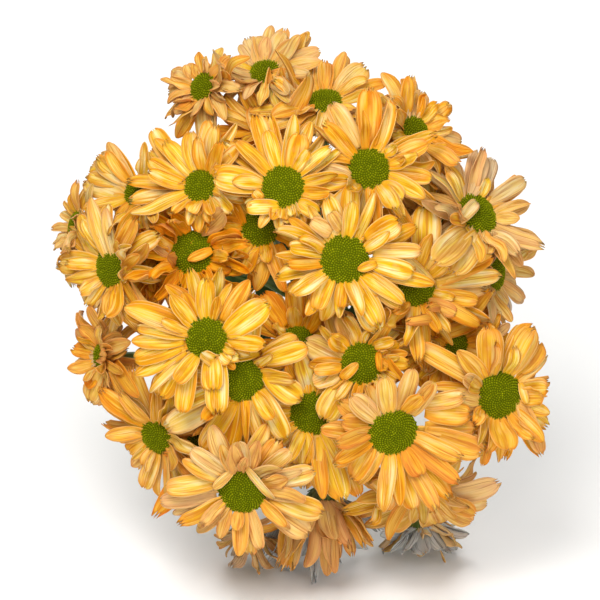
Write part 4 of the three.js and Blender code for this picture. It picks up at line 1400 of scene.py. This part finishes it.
crowd = Crowd()
for flower in HEADS:
    crowd.add(*disc_blocker(flower))
still_crossing = 0
ARRANGED = {}
for flower in sorted(HEADS, key=lambda f: -f.centre.z):
    own, together, chosen = Crowd(), [], []
    all_placed = crowd.trees
    # the flower's own disc doesn't block its petals
    crowd.trees = [tree for k, tree in enumerate(all_placed) if k != flower.number - 1]
    for petal in petals_of(flower):
        cost, shift, points = settled(petal, flower, crowd, own)
        own.add(points, COARSE_FACES)
        together.append((points, COARSE_FACES))
        chosen.append((petal, shift))
        still_crossing += cost > 0
    crowd.trees = all_placed
    crowd.add(*joined(together))
    ARRANGED[flower.number] = chosen
print("petals still touching others:", still_crossing, "of", sum(len(c) for c in ARRANGED.values()))

# %% [markdown]
# ## The surface of a petal
# The petal finish reads how far across and along a petal it is. Each master gets these
# two numbers point by point, and every bent copy keeps them. The first half of the
# points is the upper side of the petal.

# %% Surface of the masters
MASTER_UV, MASTER_TOP = {}, {}
for name, (points, faces) in MASTERS.items():
    share = points[:, 0] / PETAL_LENGTH
    spans = np.interp(share, ROW_PLACES, OUTLINES[name][0]) * PETAL_WIDTH
    MASTER_UV[name] = np.stack([points[:, 1] / spans + 0.5, np.clip(share, 0, 1)], axis=1)
    MASTER_TOP[name] = np.arange(len(points)) < len(points) // 2
print("points on the upper side:", {name: int(top.sum()) for name, top in MASTER_TOP.items()})

# %% [markdown]
# ## Petal pieces
# The chosen petals of a flower become one piece, with its colours stored on its points: how warm each petal is and how
# grey its two sides are, both partly painted shade, and a number that shifts its veins.

# %% Petals
DRY_AND_SHADED = 1.05  # the dullness of a petal that hangs behind a bell, partly dry, partly painted shade


def colours_of(petal, flower):
    """The petal's warmth and the grey of its points, both partly painted shade, and its seed."""
    warm = min(1.0, max(0.0, flower.warmth + jitter(0.22))) if petal.warm is None else petal.warm
    dull = DRY_AND_SHADED if petal.dry_and_shaded else flower.dull * min(1.0, max(0.1, 0.8 + jitter(0.25)))
    front = min(1.0, 0.9 * dull**2) if petal.grey is None else petal.grey
    back = max(front, min(1.0, 0.15 + 0.6 * dull))
    return warm, np.where(MASTER_TOP[petal.shape], front, back), CHANCE.random()


petal_pieces = []
for flower in HEADS:
    parts, warmth, grey, seeds, uvs = [], [], [], [], []
    for petal, shift in ARRANGED[flower.number]:
        points, faces = MASTERS[petal.shape]
        parts.append((above_floor(placed(petal.bent(points, shift), flower.frame)), faces))
        warm, greys, seed = colours_of(petal, flower)
        warmth.append(np.full(len(points), warm))
        grey.append(greys)
        seeds.append(np.full(len(points), seed))
        uvs.append(MASTER_UV[petal.shape])
    points, faces = joined(parts)
    values = {"warmth": np.concatenate(warmth), "grey": np.concatenate(grey), "seed": np.concatenate(seeds)}
    piece = new_piece(f"ray_petals_{flower.number:02d}", points, faces, PETAL, values, np.vstack(uvs))
    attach(piece, "root")
    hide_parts(f"petals_{flower.number:02d}")
    petal_pieces.append(piece)
print("petal faces:", sum(len(p.data.polygons) for p in petal_pieces))

# %% [markdown]
# ## Discs
# The green button is a low dome with hundreds of florets, set in the two families of
# spirals that any such disc shows: each floret stands a golden angle on from the last.
# One floret is a small five-sided bud. It is set down by code, smaller and flatter in
# the middle, where the florets are still closed.

# %% Floret and dome masters
def floret_master():
    """A small five-sided bud with a pointed top."""
    nothing_selected()
    bpy.ops.mesh.primitive_cone_add(vertices=5, radius1=0.62, radius2=0.46, depth=0.7, location=(0, 0, 0.1))
    piece = bpy.context.object
    bpy.ops.object.mode_set(mode="EDIT")
    bpy.ops.mesh.select_mode(type="FACE")
    bpy.ops.mesh.select_all(action="DESELECT")
    pick(piece, lambda p: p.z > 0.3)
    bpy.ops.mesh.poke()
    pick(piece, lambda p: p.z > 0.3 and math.hypot(p.x, p.y) < 0.1)
    bpy.ops.transform.translate(value=(0, 0, 0.22))
    return taken_as_arrays(piece)


CUP_BOTTOM = -7.0
# radius and height of each ring, from the bottom of the cup to the top of the dome
HEAD_LEVELS = [
    (0.30, CUP_BOTTOM), (0.42, -6.4), (0.66, -4.4), (0.83, -2.0), (0.86, -0.9), (0.80, 0.2),
    (0.90, 0.9), (0.99, 1.4), (0.97, 2.2), (0.86, 5.2), (0.66, 8.0), (0.42, 9.9), (0.18, 10.8),
]


def head_master():
    """Cup and dome of a disc of radius 1. The heights of the dome are set later, flower by flower."""
    nothing_selected()
    bottom = (0, 0, CUP_BOTTOM)
    bpy.ops.mesh.primitive_circle_add(vertices=20, radius=HEAD_LEVELS[0][0], fill_type="NGON", location=bottom)
    piece = bpy.context.object
    bpy.ops.object.mode_set(mode="EDIT")
    bpy.ops.mesh.select_all(action="SELECT")
    for (last, below), (radius, level) in zip(HEAD_LEVELS, HEAD_LEVELS[1:]):
        bpy.ops.mesh.extrude_region_move(TRANSFORM_OT_translate={"value": (0, 0, level - below)})
        bpy.ops.transform.resize(value=(radius / last, radius / last, 1))
    bpy.ops.mesh.merge(type="CENTER")
    bpy.ops.mesh.select_all(action="SELECT")
    bpy.ops.mesh.normals_make_consistent(inside=False)
    return taken_as_arrays(piece)


FLORET_POINTS, FLORET_FACES = floret_master()
HEAD_POINTS, HEAD_FACES = head_master()
DOME_FACES = [k for k, face in enumerate(HEAD_FACES) if HEAD_POINTS[list(face), 2].mean() > 0.5]
print("floret faces:", len(FLORET_FACES), "head faces:", len(HEAD_FACES))

# %% [markdown]
# One dome is sized to each disc, and its florets are set out on it together, with the
# tilt that the slope gives them and a little chance in their size and ripeness.

# %% Discs
GOLDEN_ANGLE = math.pi * (3 - math.sqrt(5))
FLORET_STEP = 0.70  # millimetres; the distance from the middle grows with its square root
DOME_CURVE = 2.4  # how flat the top of the dome is


def dome_height(share, flower):
    """Height of the dome over the flower's own zero, by the share of the disc's radius."""
    return RIM_HEIGHT + flower.dome * (1 - share**DOME_CURVE)


def sized_head(flower):
    """The cup and dome of one flower."""
    points = HEAD_POINTS.copy()
    points[:, :2] *= flower.disc
    share = np.clip(np.hypot(points[:, 0], points[:, 1]) / flower.disc, 0, 1)
    dome = points[:, 2] > 1.9  # all rings above the rim
    points[dome, 2] = dome_height(share[dome], flower) - 0.15
    return points


def florets_on(flower):
    """All florets of a disc as one set of points and faces, with their values."""
    count = int((flower.disc / FLORET_STEP) ** 2)
    base_count = len(FLORET_POINTS)
    k = np.arange(count) + 0.5
    radius = FLORET_STEP * np.sqrt(k)
    turn = GOLDEN_ANGLE * k + flower.number
    share = radius / flower.disc
    fall = flower.dome * DOME_CURVE * share ** (DOME_CURVE - 1) / flower.disc
    tilt = np.arctan(fall) * 0.8
    size = 0.93 + 0.20 * share**0.7 + CHANCE.normal(0, 0.05, count)
    size[share > 0.93] *= 0.9
    height = dome_height(share, flower) - 0.12
    spin = CHANCE.uniform(0, 6.3, count)
    local = np.repeat(FLORET_POINTS[None], count, axis=0)
    c, s = np.cos(spin)[:, None], np.sin(spin)[:, None]
    x = (local[:, :, 0] * c - local[:, :, 1] * s) * size[:, None]
    y = (local[:, :, 0] * s + local[:, :, 1] * c) * size[:, None]
    z = local[:, :, 2] * (0.7 + 0.5 * share[:, None])
    out = x * np.cos(tilt)[:, None] + z * np.sin(tilt)[:, None]
    up = z * np.cos(tilt)[:, None] - x * np.sin(tilt)[:, None]
    c, s = np.cos(turn)[:, None], np.sin(turn)[:, None]
    out = out + radius[:, None]
    spots = np.stack([out * c - y * s, out * s + y * c, up + height[:, None]], axis=2).reshape(-1, 3)
    faces = joined([(FLORET_POINTS, FLORET_FACES)] * count)[1]
    ripe = np.clip(0.35 + 0.25 * share + CHANCE.normal(0, 0.16, count) + 0.3 * (share < 0.12), 0, 1)
    values = {
        "ripeness": np.repeat(ripe, base_count),
        "height": np.clip((np.tile(FLORET_POINTS[:, 2], count) + 0.1) / 0.75, 0, 1),
    }
    return placed(spots, flower.frame), faces, values


floret_faces = 0
for flower in HEADS:
    points, faces, values = florets_on(flower)
    florets = new_piece(f"disc_florets_{flower.number:02d}", points, faces, FLORET, values)
    floret_faces += len(faces)
    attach(florets, "root")
print("floret faces:", floret_faces)

# %% [markdown]
# ## Stems, stalks and cups
# One straight ribbed tube is modelled and then bent along every stem and stalk. A stem
# tapers upwards, a stalk thickens again under its flower, and the cup there is covered
# by three rows of small overlapping scales.

# %% Tube and scale masters
TUBE_SIDES, TUBE_RINGS = 12, 36
SCALE_THICKNESS = 0.10  # as shares of the length of a scale


def tube_master():
    """A straight ribbed tube of length 1 and radius 1, with closed ends."""
    nothing_selected()
    bpy.ops.mesh.primitive_circle_add(vertices=TUBE_SIDES, radius=1, fill_type="NGON")
    piece = bpy.context.object
    ribs = [math.radians(60 * k) for k in range(6)]
    pick(piece, lambda p: any(abs(math.remainder(math.atan2(p.y, p.x) - r, 2 * math.pi)) < 0.1 for r in ribs))
    bpy.ops.transform.resize(value=(1.09, 1.09, 1))
    bpy.ops.mesh.select_all(action="SELECT")
    for _ in range(TUBE_RINGS):
        bpy.ops.mesh.extrude_region_move(TRANSFORM_OT_translate={"value": (0, 0, 1 / TUBE_RINGS)})
    bpy.ops.mesh.select_all(action="SELECT")
    bpy.ops.mesh.normals_make_consistent(inside=False)
    return taken_as_arrays(piece)


def scale_master():
    """A small pointed green scale: 1 long and 1 wide, with a raised keel."""
    nothing_selected()
    bpy.ops.mesh.primitive_grid_add(x_subdivisions=4, y_subdivisions=2, size=1, location=(0.5, 0, 0))
    piece = bpy.context.object
    for at, width in ((0, 0.55), (0.25, 0.95), (0.5, 1.0), (0.75, 0.8), (1.0, 0.3)):
        pick(piece, lambda p: abs(p.x + 0.5 - at) < 0.05)
        bpy.ops.transform.resize(value=(1, width, 1))
    pick(piece, lambda p: abs(p.y) < 0.01)
    bpy.ops.transform.translate(value=(0, 0, 0.12))
    thickened(piece, SCALE_THICKNESS)
    return taken_as_arrays(piece)


TUBE_POINTS, TUBE_FACES = tube_master()
SCALE_POINTS, SCALE_FACES = scale_master()
TUBE_ENDS = [k for k, face in enumerate(TUBE_FACES) if len(face) == TUBE_SIDES]
print("tube faces:", len(TUBE_FACES), "ends:", TUBE_ENDS, "scale faces:", len(SCALE_FACES))

# %% [markdown]
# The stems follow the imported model: seven of them, side by side through the band and
# spreading towards both ends. The flowers of a stem fork off one after the other, the
# outer ones lowest.

# %% Stem courses
SIDE_BY_SIDE = 22.0  # millimetres on each side of the band's middle
STEM_BELOW_BAND = 165.0
RING_OF_STEMS = 6.5
LOWEST_FORK, FORK_STEP = 34, 13
STEM_CLOCKS = [30, 90, 150, 210, 270, 330, None]  # degrees round the band; the last is the middle one
# the stem that each flower grows on, by the flower's number
ON_STEM = [3, 2, 2, 1, 2, 2, 3, 3, 4, 4, 3, 7, 7, 4, 5, 5, 6, 6, 7, 5, 7, 1, 1, 1, 6, 6, 4, 4, 5, 6, 2, 5, 6, 3, 5, 1]


def stem_point(stem, forward):
    """The middle of a stem, at a distance in front of the band or behind it."""
    clock = STEM_CLOCKS[stem - 1]
    if clock is None:
        return np.array([0.0, 0.0, forward])
    beyond = max(0.0, abs(forward) - SIDE_BY_SIDE)
    spread = 30 * (beyond / 70) ** 1.5 if forward > 0 else 9 * (beyond / STEM_BELOW_BAND) ** 1.4
    out = RING_OF_STEMS + spread
    return np.array([out * math.cos(math.radians(clock)), out * math.sin(math.radians(clock)), forward])


def along_curve(path, radii, seed=0.0):
    """The straight tube bent along a path of points, with its UV round and along, in millimetres."""
    path = np.array(path)
    steps = np.linalg.norm(np.diff(path, axis=0), axis=1)
    course = np.concatenate([[0], np.cumsum(steps)])
    share = course / course[-1]
    z = np.clip(TUBE_POINTS[:, 2], 0, 1)
    at = np.stack([np.interp(z, share, path[:, i]) for i in range(3)], axis=1)
    tangent = np.gradient(path, course, axis=0)
    tangent /= np.linalg.norm(tangent, axis=1)[:, None]
    ahead = np.stack([np.interp(z, share, tangent[:, i]) for i in range(3)], axis=1)
    side = np.cross([0.3, 1.0, 0.05], ahead)
    side /= np.linalg.norm(side, axis=1)[:, None]
    up = np.cross(ahead, side)
    radius = np.interp(z, np.linspace(0, 1, len(radii)), radii)[:, None]
    points = at + (side * TUBE_POINTS[:, :1] + up * TUBE_POINTS[:, 1:2]) * radius
    around = np.arctan2(TUBE_POINTS[:, 1], TUBE_POINTS[:, 0]) / (2 * math.pi) + 0.5
    return points, np.stack([around + seed, z * course[-1] / 10], axis=1)


print("stem 1 at the band", [round(float(v), 1) for v in stem_point(1, 0)])

# %% [markdown]
# A stalk is a curve that leaves its stem in the stem's own direction and meets its cup
# from behind. The scales of the cup stand in three rings, each more upright than the one
# below it.

# %% Flower stalks with their cups
STALK_RADII = [2.1, 1.6, 1.5, 1.45, 1.4, 1.45, 1.6, 2.4]
# height, distance from the middle by the disc's radius, lift and length
SCALE_RINGS = [(-6.2, 0.40, 34, 5.0), (-4.6, 0.60, 50, 5.2), (-3.0, 0.76, 66, 4.6)]


def bezier(a, b, c, d):
    t = np.linspace(0, 1, 25)[:, None]
    return a * (1 - t) ** 3 + 3 * b * t * (1 - t) ** 2 + 3 * c * t**2 * (1 - t) + d * t**3


def stalk_path(stem, flower, fork):
    start = stem_point(stem, fork)
    along = stem_point(stem, fork + 1) - start
    along /= np.linalg.norm(along)
    end = np.array(flower.frame @ Vector((0, 0, CUP_BOTTOM + 1)))
    span = np.linalg.norm(end - start)
    return bezier(start, start + along * 0.4 * span, end - np.array(flower.facing) * 0.35 * span, end)


def scales_of(flower):
    parts = []
    for row, (level, out, lift, length) in enumerate(SCALE_RINGS):
        count = 10 + 3 * row
        for k in range(count):
            turn = 2 * math.pi * (k + 0.5 * (row % 2)) / count + jitter(0.06)
            tilt = math.radians(lift + jitter(5))
            size = Matrix.Diagonal((length * (1 + jitter(0.08)), 2.5, 2.5, 1))
            stand = Matrix.Rotation(-tilt, 4, "Y")
            place = Matrix.Rotation(turn, 4, "Z") @ Matrix.Translation((out * flower.disc + 0.25, 0, level)) @ stand
            parts.append((placed(SCALE_POINTS, flower.frame @ place @ size), SCALE_FACES))
    return parts


FORKS = {}
for stem in range(1, 8):
    own_flowers = [f for f in HEADS if ON_STEM[f.number - 1] == stem]
    own_flowers.sort(key=lambda f: -math.hypot(f.centre.x, f.centre.y))
    FORKS[stem] = [(f, LOWEST_FORK + FORK_STEP * k) for k, f in enumerate(own_flowers)]

for stem, forks in FORKS.items():
    for flower, fork in forks:
        tube_points, tube_uv = along_curve(stalk_path(stem, flower, fork), STALK_RADII, flower.number * 0.37)
        cup = placed(sized_head(flower), flower.frame)
        parts = [(tube_points, TUBE_FACES), (cup, HEAD_FACES)] + scales_of(flower)
        points, faces = joined(parts)
        plain_uv = points[:, :2] * 0.05
        uv = np.vstack([tube_uv, plain_uv[len(tube_uv):]])
        stalk = new_piece(f"stalk_and_cup_{flower.number:02d}", points, faces, STEM, uv=uv)
        stalk.data.materials.append(FLORET)
        for k in DOME_FACES:
            stalk.data.polygons[len(TUBE_FACES) + k].material_index = 1
        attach(stalk, "root")
        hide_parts(f"spray_stem_{stem}")
print("stalks:", sum(len(f) for f in FORKS.values()))

# %% [markdown]
# A main stem is the same tube along its own course, up to its last fork. Its end is cut
# at a slant, shows the pith and isn't smoothed.

# %% Main stems
def main_stem(stem):
    top = FORKS[stem][-1][1] + 3
    path = [stem_point(stem, f) for f in np.linspace(-STEM_BELOW_BAND, top, 60)]
    radii = [2.9 * (1 + 0.03 * math.sin(9 * k / 14 + stem)) for k in range(12)] + [2.7, 2.4]
    points, uv = along_curve(path, radii, stem * 0.61)
    end = TUBE_POINTS[:, 2] < 0.001
    points[end, 2] += 0.55 * (points[end, 1] - points[end, 1].mean()) * (1 if stem % 2 else -1)
    points = above_floor(points)
    piece = new_piece(f"main_stem_{stem}", points, TUBE_FACES, STEM, uv=uv)
    piece.data.materials.append(PITH)
    low_end = min(TUBE_ENDS, key=lambda k: points[list(TUBE_FACES[k]), 2].mean())
    piece.data.polygons[low_end].material_index = 1
    piece.data.polygons[low_end].use_smooth = False
    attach(piece, "root")
    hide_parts(f"spray_stem_{stem}")
    return piece


main_stems = [main_stem(stem) for stem in FORKS]
print("main stems:", len(main_stems))

# %% [markdown]
# ## Leaves
# A chrysanthemum leaf has a short stalk and deep rounded lobes that grow towards the
# middle. It is a grid whose rows follow that outline, with the lobes drawn forwards. The
# midrib is a crease, the edges wave, and the whole blade droops at its tip.

# %% Leaf master
LEAF_ROWS, LEAF_LINES = 44, 8
LEAF_THICKNESS, EDGE_WAVE = 0.011, 0.018  # as shares of the length of the leaf
LEAF_OUTLINE = [
    (0, 0.016), (0.12, 0.02), (0.17, 0.035), (0.22, 0.12), (0.27, 0.13), (0.31, 0.11), (0.34, 0.06), (0.38, 0.10),
    (0.44, 0.21), (0.50, 0.245), (0.55, 0.22), (0.59, 0.10), (0.63, 0.12), (0.70, 0.20), (0.76, 0.20), (0.80, 0.16),
    (0.82, 0.09), (0.87, 0.10), (0.92, 0.09), (0.97, 0.05), (1, 0.012),
]


def half_leaf(share):
    """Half the width of the leaf, by the share of its length."""
    return np.interp(share, *zip(*LEAF_OUTLINE))


def leaf_master():
    """A flat leaf, 1 long, with its midrib pressed in and a real thickness."""
    nothing_selected()
    bpy.ops.mesh.primitive_grid_add(x_subdivisions=LEAF_ROWS, y_subdivisions=LEAF_LINES, size=1, location=(0.5, 0, 0))
    piece = bpy.context.object
    for k in range(LEAF_ROWS + 1):
        at = k / LEAF_ROWS
        pick(piece, lambda p: abs(p.x + 0.5 - at) < 0.3 / LEAF_ROWS)
        notch = 1 - 0.12 * abs(math.sin(math.pi * at * 16))
        bpy.ops.transform.resize(value=(1, 2 * float(half_leaf(at)) * notch, 1))
    pick(piece, lambda p: abs(p.y) < 0.001)
    bpy.ops.transform.translate(value=(0, 0, -0.012))
    thickened(piece, LEAF_THICKNESS)
    return taken_as_arrays(piece)


LEAF_POINTS, LEAF_FACES = leaf_master()
print("leaf faces:", len(LEAF_FACES))

# %% [markdown]
# The leaves grow from the stems behind the head. Each is folded up a little along its
# midrib and bent along its length, and a few bends are tried until it meets no petals.

# %% Leaves
# stem, place along it, turn from the stem's side, lean from the stem, and length
LEAVES = [
    (1, 16, 20, 58, 62), (1, 44, -30, 50, 50), (2, 22, -18, 55, 60), (2, 50, 24, 48, 48), (3, 14, 12, 60, 64),
    (3, 46, -24, 50, 50), (4, 20, -16, 56, 62), (4, 48, 26, 50, 48), (5, 18, 20, 52, 54), (5, 42, -26, 50, 46),
    (6, 24, -14, 56, 60), (6, 52, 28, 48, 50),
]


def bent_leaf(points, row, droop, wave):
    """The leaf at its place: its tip droops by so many degrees and its edges wave."""
    stem, forward, turn, lean, length = row
    clock, lean = math.radians(STEM_CLOCKS[stem - 1] + turn), math.radians(lean)
    outward = np.array([math.sin(lean) * math.cos(clock), math.sin(lean) * math.sin(clock), math.cos(lean)])
    across = np.cross([0, 0, 1], outward)
    across /= np.linalg.norm(across)
    face = np.cross(outward, across)
    s = points[:, 0]
    edge = np.abs(points[:, 1]) / half_leaf(s)
    bend = math.radians(droop) * s
    x = np.where(bend == 0, s, np.sin(bend) / np.maximum(np.abs(bend), 1e-6) * s) + 0.25 * np.abs(points[:, 1])
    z = -np.sin(bend / 2) * s * np.sign(droop) + 0.35 * np.abs(points[:, 1])
    z = z + wave * edge**2 * np.sin(s * 26 + (points[:, 1] > 0) * 2.1 + stem) + points[:, 2]
    foot = stem_point(stem, forward)
    local = np.stack([x, points[:, 1], z], axis=1) * length
    return foot + local[:, :1] * outward + local[:, 1:2] * across + local[:, 2:] * face


leaf_rows = [0.2, 0.35, 0.5, 0.65, 0.8, 1.0]
leaf_coarse = np.array([(s, c * half_leaf(s), 0) for s in leaf_rows for c in (-1, 0, 1)])
leaf_uv = np.stack([LEAF_POINTS[:, 1] / (2 * half_leaf(LEAF_POINTS[:, 0])) + 0.5, LEAF_POINTS[:, 0]], axis=1)
for k, row in enumerate(LEAVES):
    tried = []
    for droop in (35, 20, 50, 5, 65, 80):
        points = bent_leaf(leaf_coarse, row, droop, 0)
        tree = BVHTree.FromPolygons(points.tolist(), strip_faces(len(leaf_rows)))
        tried.append((crowd.crossings(points, tree), droop))
        if tried[-1][0] == 0:
            break
    points = bent_leaf(LEAF_POINTS, row, min(tried)[1], EDGE_WAVE)
    leaf = new_piece(f"lobed_leaf_{k + 1:02d}", points, LEAF_FACES, LEAF, uv=leaf_uv)
    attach(leaf, "root")
    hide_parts(f"leaf_{k + 1:02d}")
    crowd.add(points, LEAF_FACES)
print("leaves:", len(LEAVES))

# %% [markdown]
# ## Twine
# The tie is a soft two-strand twine, wound six times round the stems and knotted. Its course is drawn as points and
# swept as one tube, because its strands are too fine to be worth their own meshes. The finish adds the strands, with
# painted shade in the groove between them.

# %% Twine band
CORD, KNOT_CORD = 0.95, 0.8  # radii of the twine; it is pulled thin in the knot
WIND_RADIUS, HALF_BAND = 10.95, 6.0
TURNS, STEPS_A_TURN = 6.2, 28
KNOT_SIZE = 1.7


def swept(path, radius, sides=8):
    """A closed tube along a path of points, thinner at its two ends."""
    path = np.array(path)
    course = np.concatenate([[0], np.cumsum(np.linalg.norm(np.diff(path, axis=0), axis=1))])
    tangent = np.gradient(path, course, axis=0)
    tangent /= np.linalg.norm(tangent, axis=1)[:, None]
    side = np.cross(tangent, [0.02, 0.03, 1.0])
    side /= np.linalg.norm(side, axis=1)[:, None]
    up = np.cross(side, tangent)
    angles = np.arange(sides) * 2 * math.pi / sides
    taper = np.ones(len(path))
    taper[0] = taper[-1] = 0.35
    rings = [
        path[i] + radius * taper[i] * (np.cos(angles)[:, None] * side[i] + np.sin(angles)[:, None] * up[i])
        for i in range(len(path))
    ]
    last = sides * (len(path) - 1)
    ends = [tuple(reversed(range(sides))), tuple(last + j for j in range(sides))]
    faces = ring_faces(len(path), sides) + ends
    uv = np.array([(j / sides, c / 3.2) for c in course for j in range(sides)])
    return np.vstack(rings), faces, uv


def winding():
    """The turns of the twine round the stems, side by side along the band."""
    path = []
    for k in range(int(TURNS * STEPS_A_TURN) + 1):
        turn = 2 * math.pi * k / STEPS_A_TURN
        forward = 2 * HALF_BAND * k / (TURNS * STEPS_A_TURN) - HALF_BAND
        path.append((WIND_RADIUS * math.cos(turn), WIND_RADIUS * math.sin(turn), forward))
    return path


def knot():
    """A small overhand knot that sits on the top of the winding."""
    path = []
    for t in np.linspace(0, 2 * math.pi, 60):
        x = KNOT_SIZE * (math.sin(t) + 2 * math.sin(2 * t)) * 0.75
        z = KNOT_SIZE * (math.cos(t) - 2 * math.cos(2 * t)) * 0.62
        y = WIND_RADIUS + 2.3 - 0.9 * math.sin(3 * t)
        path.append((x, y, z))
    return path


wound_points, wound_faces, wound_uv = swept(winding(), CORD)
knot_points, knot_faces, knot_uv = swept(knot(), KNOT_CORD)
points, faces = joined([(wound_points, wound_faces), (knot_points, knot_faces)])
twine = new_piece("twine_band", points, faces, TWINE, uv=np.vstack([wound_uv, knot_uv]))
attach(twine, "root")
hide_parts("stem_band")
print("twine faces:", len(faces))

# %% [markdown]
# ## Studio
# The floor is a wide pale plane under a pale grey sky. It is a stage piece, not a part
# of the bunch.

# %% Floor and sky
def floor_finish():
    m = Recipe("pale_floor", roughness=0.7)
    clouds = m.noise(m.place(), 3.0)
    m.colour(m.mix(clouds, srgb(248, 248, 247), srgb(255, 255, 254)))
    return m.material


nothing_selected()
bpy.ops.mesh.primitive_plane_add(size=30, location=(0, 0, 0))
floor = bpy.context.object
floor.name = "studio_floor"
floor.data.materials.append(floor_finish())

world = bpy.data.worlds.new("pale_sky")
bpy.context.scene.world = world
world.use_nodes = True
world.node_tree.nodes["Background"].inputs["Color"].default_value = (1, 1, 1, 1)
world.node_tree.nodes["Background"].inputs["Strength"].default_value = 0.2
print("floor", [round(v) for v in floor.dimensions[:2]], "m wide")

# %% [markdown]
# A soft light hangs in front of the flowers and above them, a weaker one fills from the
# other side, a small one lifts the petals by the floor, and one keeps the floor pale.

# %% Lights
def laid_down(x, y, z):
    """A place in the bunch's own frame, as a place over the floor in metres."""
    return TO_FLOOR @ Vector((x, y, z))


HEAD_MIDDLE, LOW_PETALS, FAR_FLOOR = laid_down(0, 0, FRONT - 30), Vector((0, -0.12, 0.02)), Vector((0, 1.3, 0))
# name, place, size in metres, power, colour and target
LIGHTS = [
    ("key_light", laid_down(-250, 600, FRONT + 950), 0.55, 11.6, (1.0, 0.98, 0.95), HEAD_MIDDLE),
    ("fill_light", laid_down(330, 30, FRONT + 1100), 0.9, 6.7, (1.0, 0.99, 0.97), HEAD_MIDDLE),
    ("low_light", (0, -0.95, 0.1), 0.5, 0.5, (1.0, 1.0, 1.0), LOW_PETALS),
    ("floor_light", (0, 1.5, 1.5), 1.6, 31, (1.0, 1.0, 1.0), FAR_FLOOR),
]
for name, place, size, power, colour, target in LIGHTS:
    nothing_selected()
    bpy.ops.object.light_add(type="AREA", location=place)
    light = bpy.context.object
    light.name = name
    light.data.size = size
    light.data.energy = power
    light.data.color = colour
    light.rotation_euler = (target - Vector(place)).to_track_quat("-Z", "Y").to_euler()
print("lights:", len(LIGHTS))

# %% [markdown]
# The camera looks straight along the stems, down on the bunch that lies there. It stands
# two metres off, and its lens follows from how much the photograph shows.

# %% Camera
CAMERA_DISTANCE = 2000.0
PHOTO_WIDTH = 312.0  # millimetres across the 600 pixels of the photograph
SENSOR = 36.0
camera = bpy.data.objects.new("camera", bpy.data.cameras.new("camera"))
bpy.context.scene.collection.objects.link(camera)
camera.data.sensor_width = SENSOR
camera.data.lens = SENSOR * CAMERA_DISTANCE / PHOTO_WIDTH
camera.data.clip_end = 60
camera.rotation_euler = Matrix.Rotation(math.pi / 2 - LEAN, 4, "X").to_euler()
camera.location = laid_down(0, 0, FRONT - 20 + CAMERA_DISTANCE)
bpy.context.scene.camera = camera
bpy.context.scene.view_settings.view_transform = "Standard"
print("camera at", [round(v, 3) for v in camera.location])

# %% [markdown]
# ## Finish
# The visual model stays in the box of the imported one, give or take the few millimetres that soft petals stand proud.

# %% Finish
bpy.context.view_layer.update()
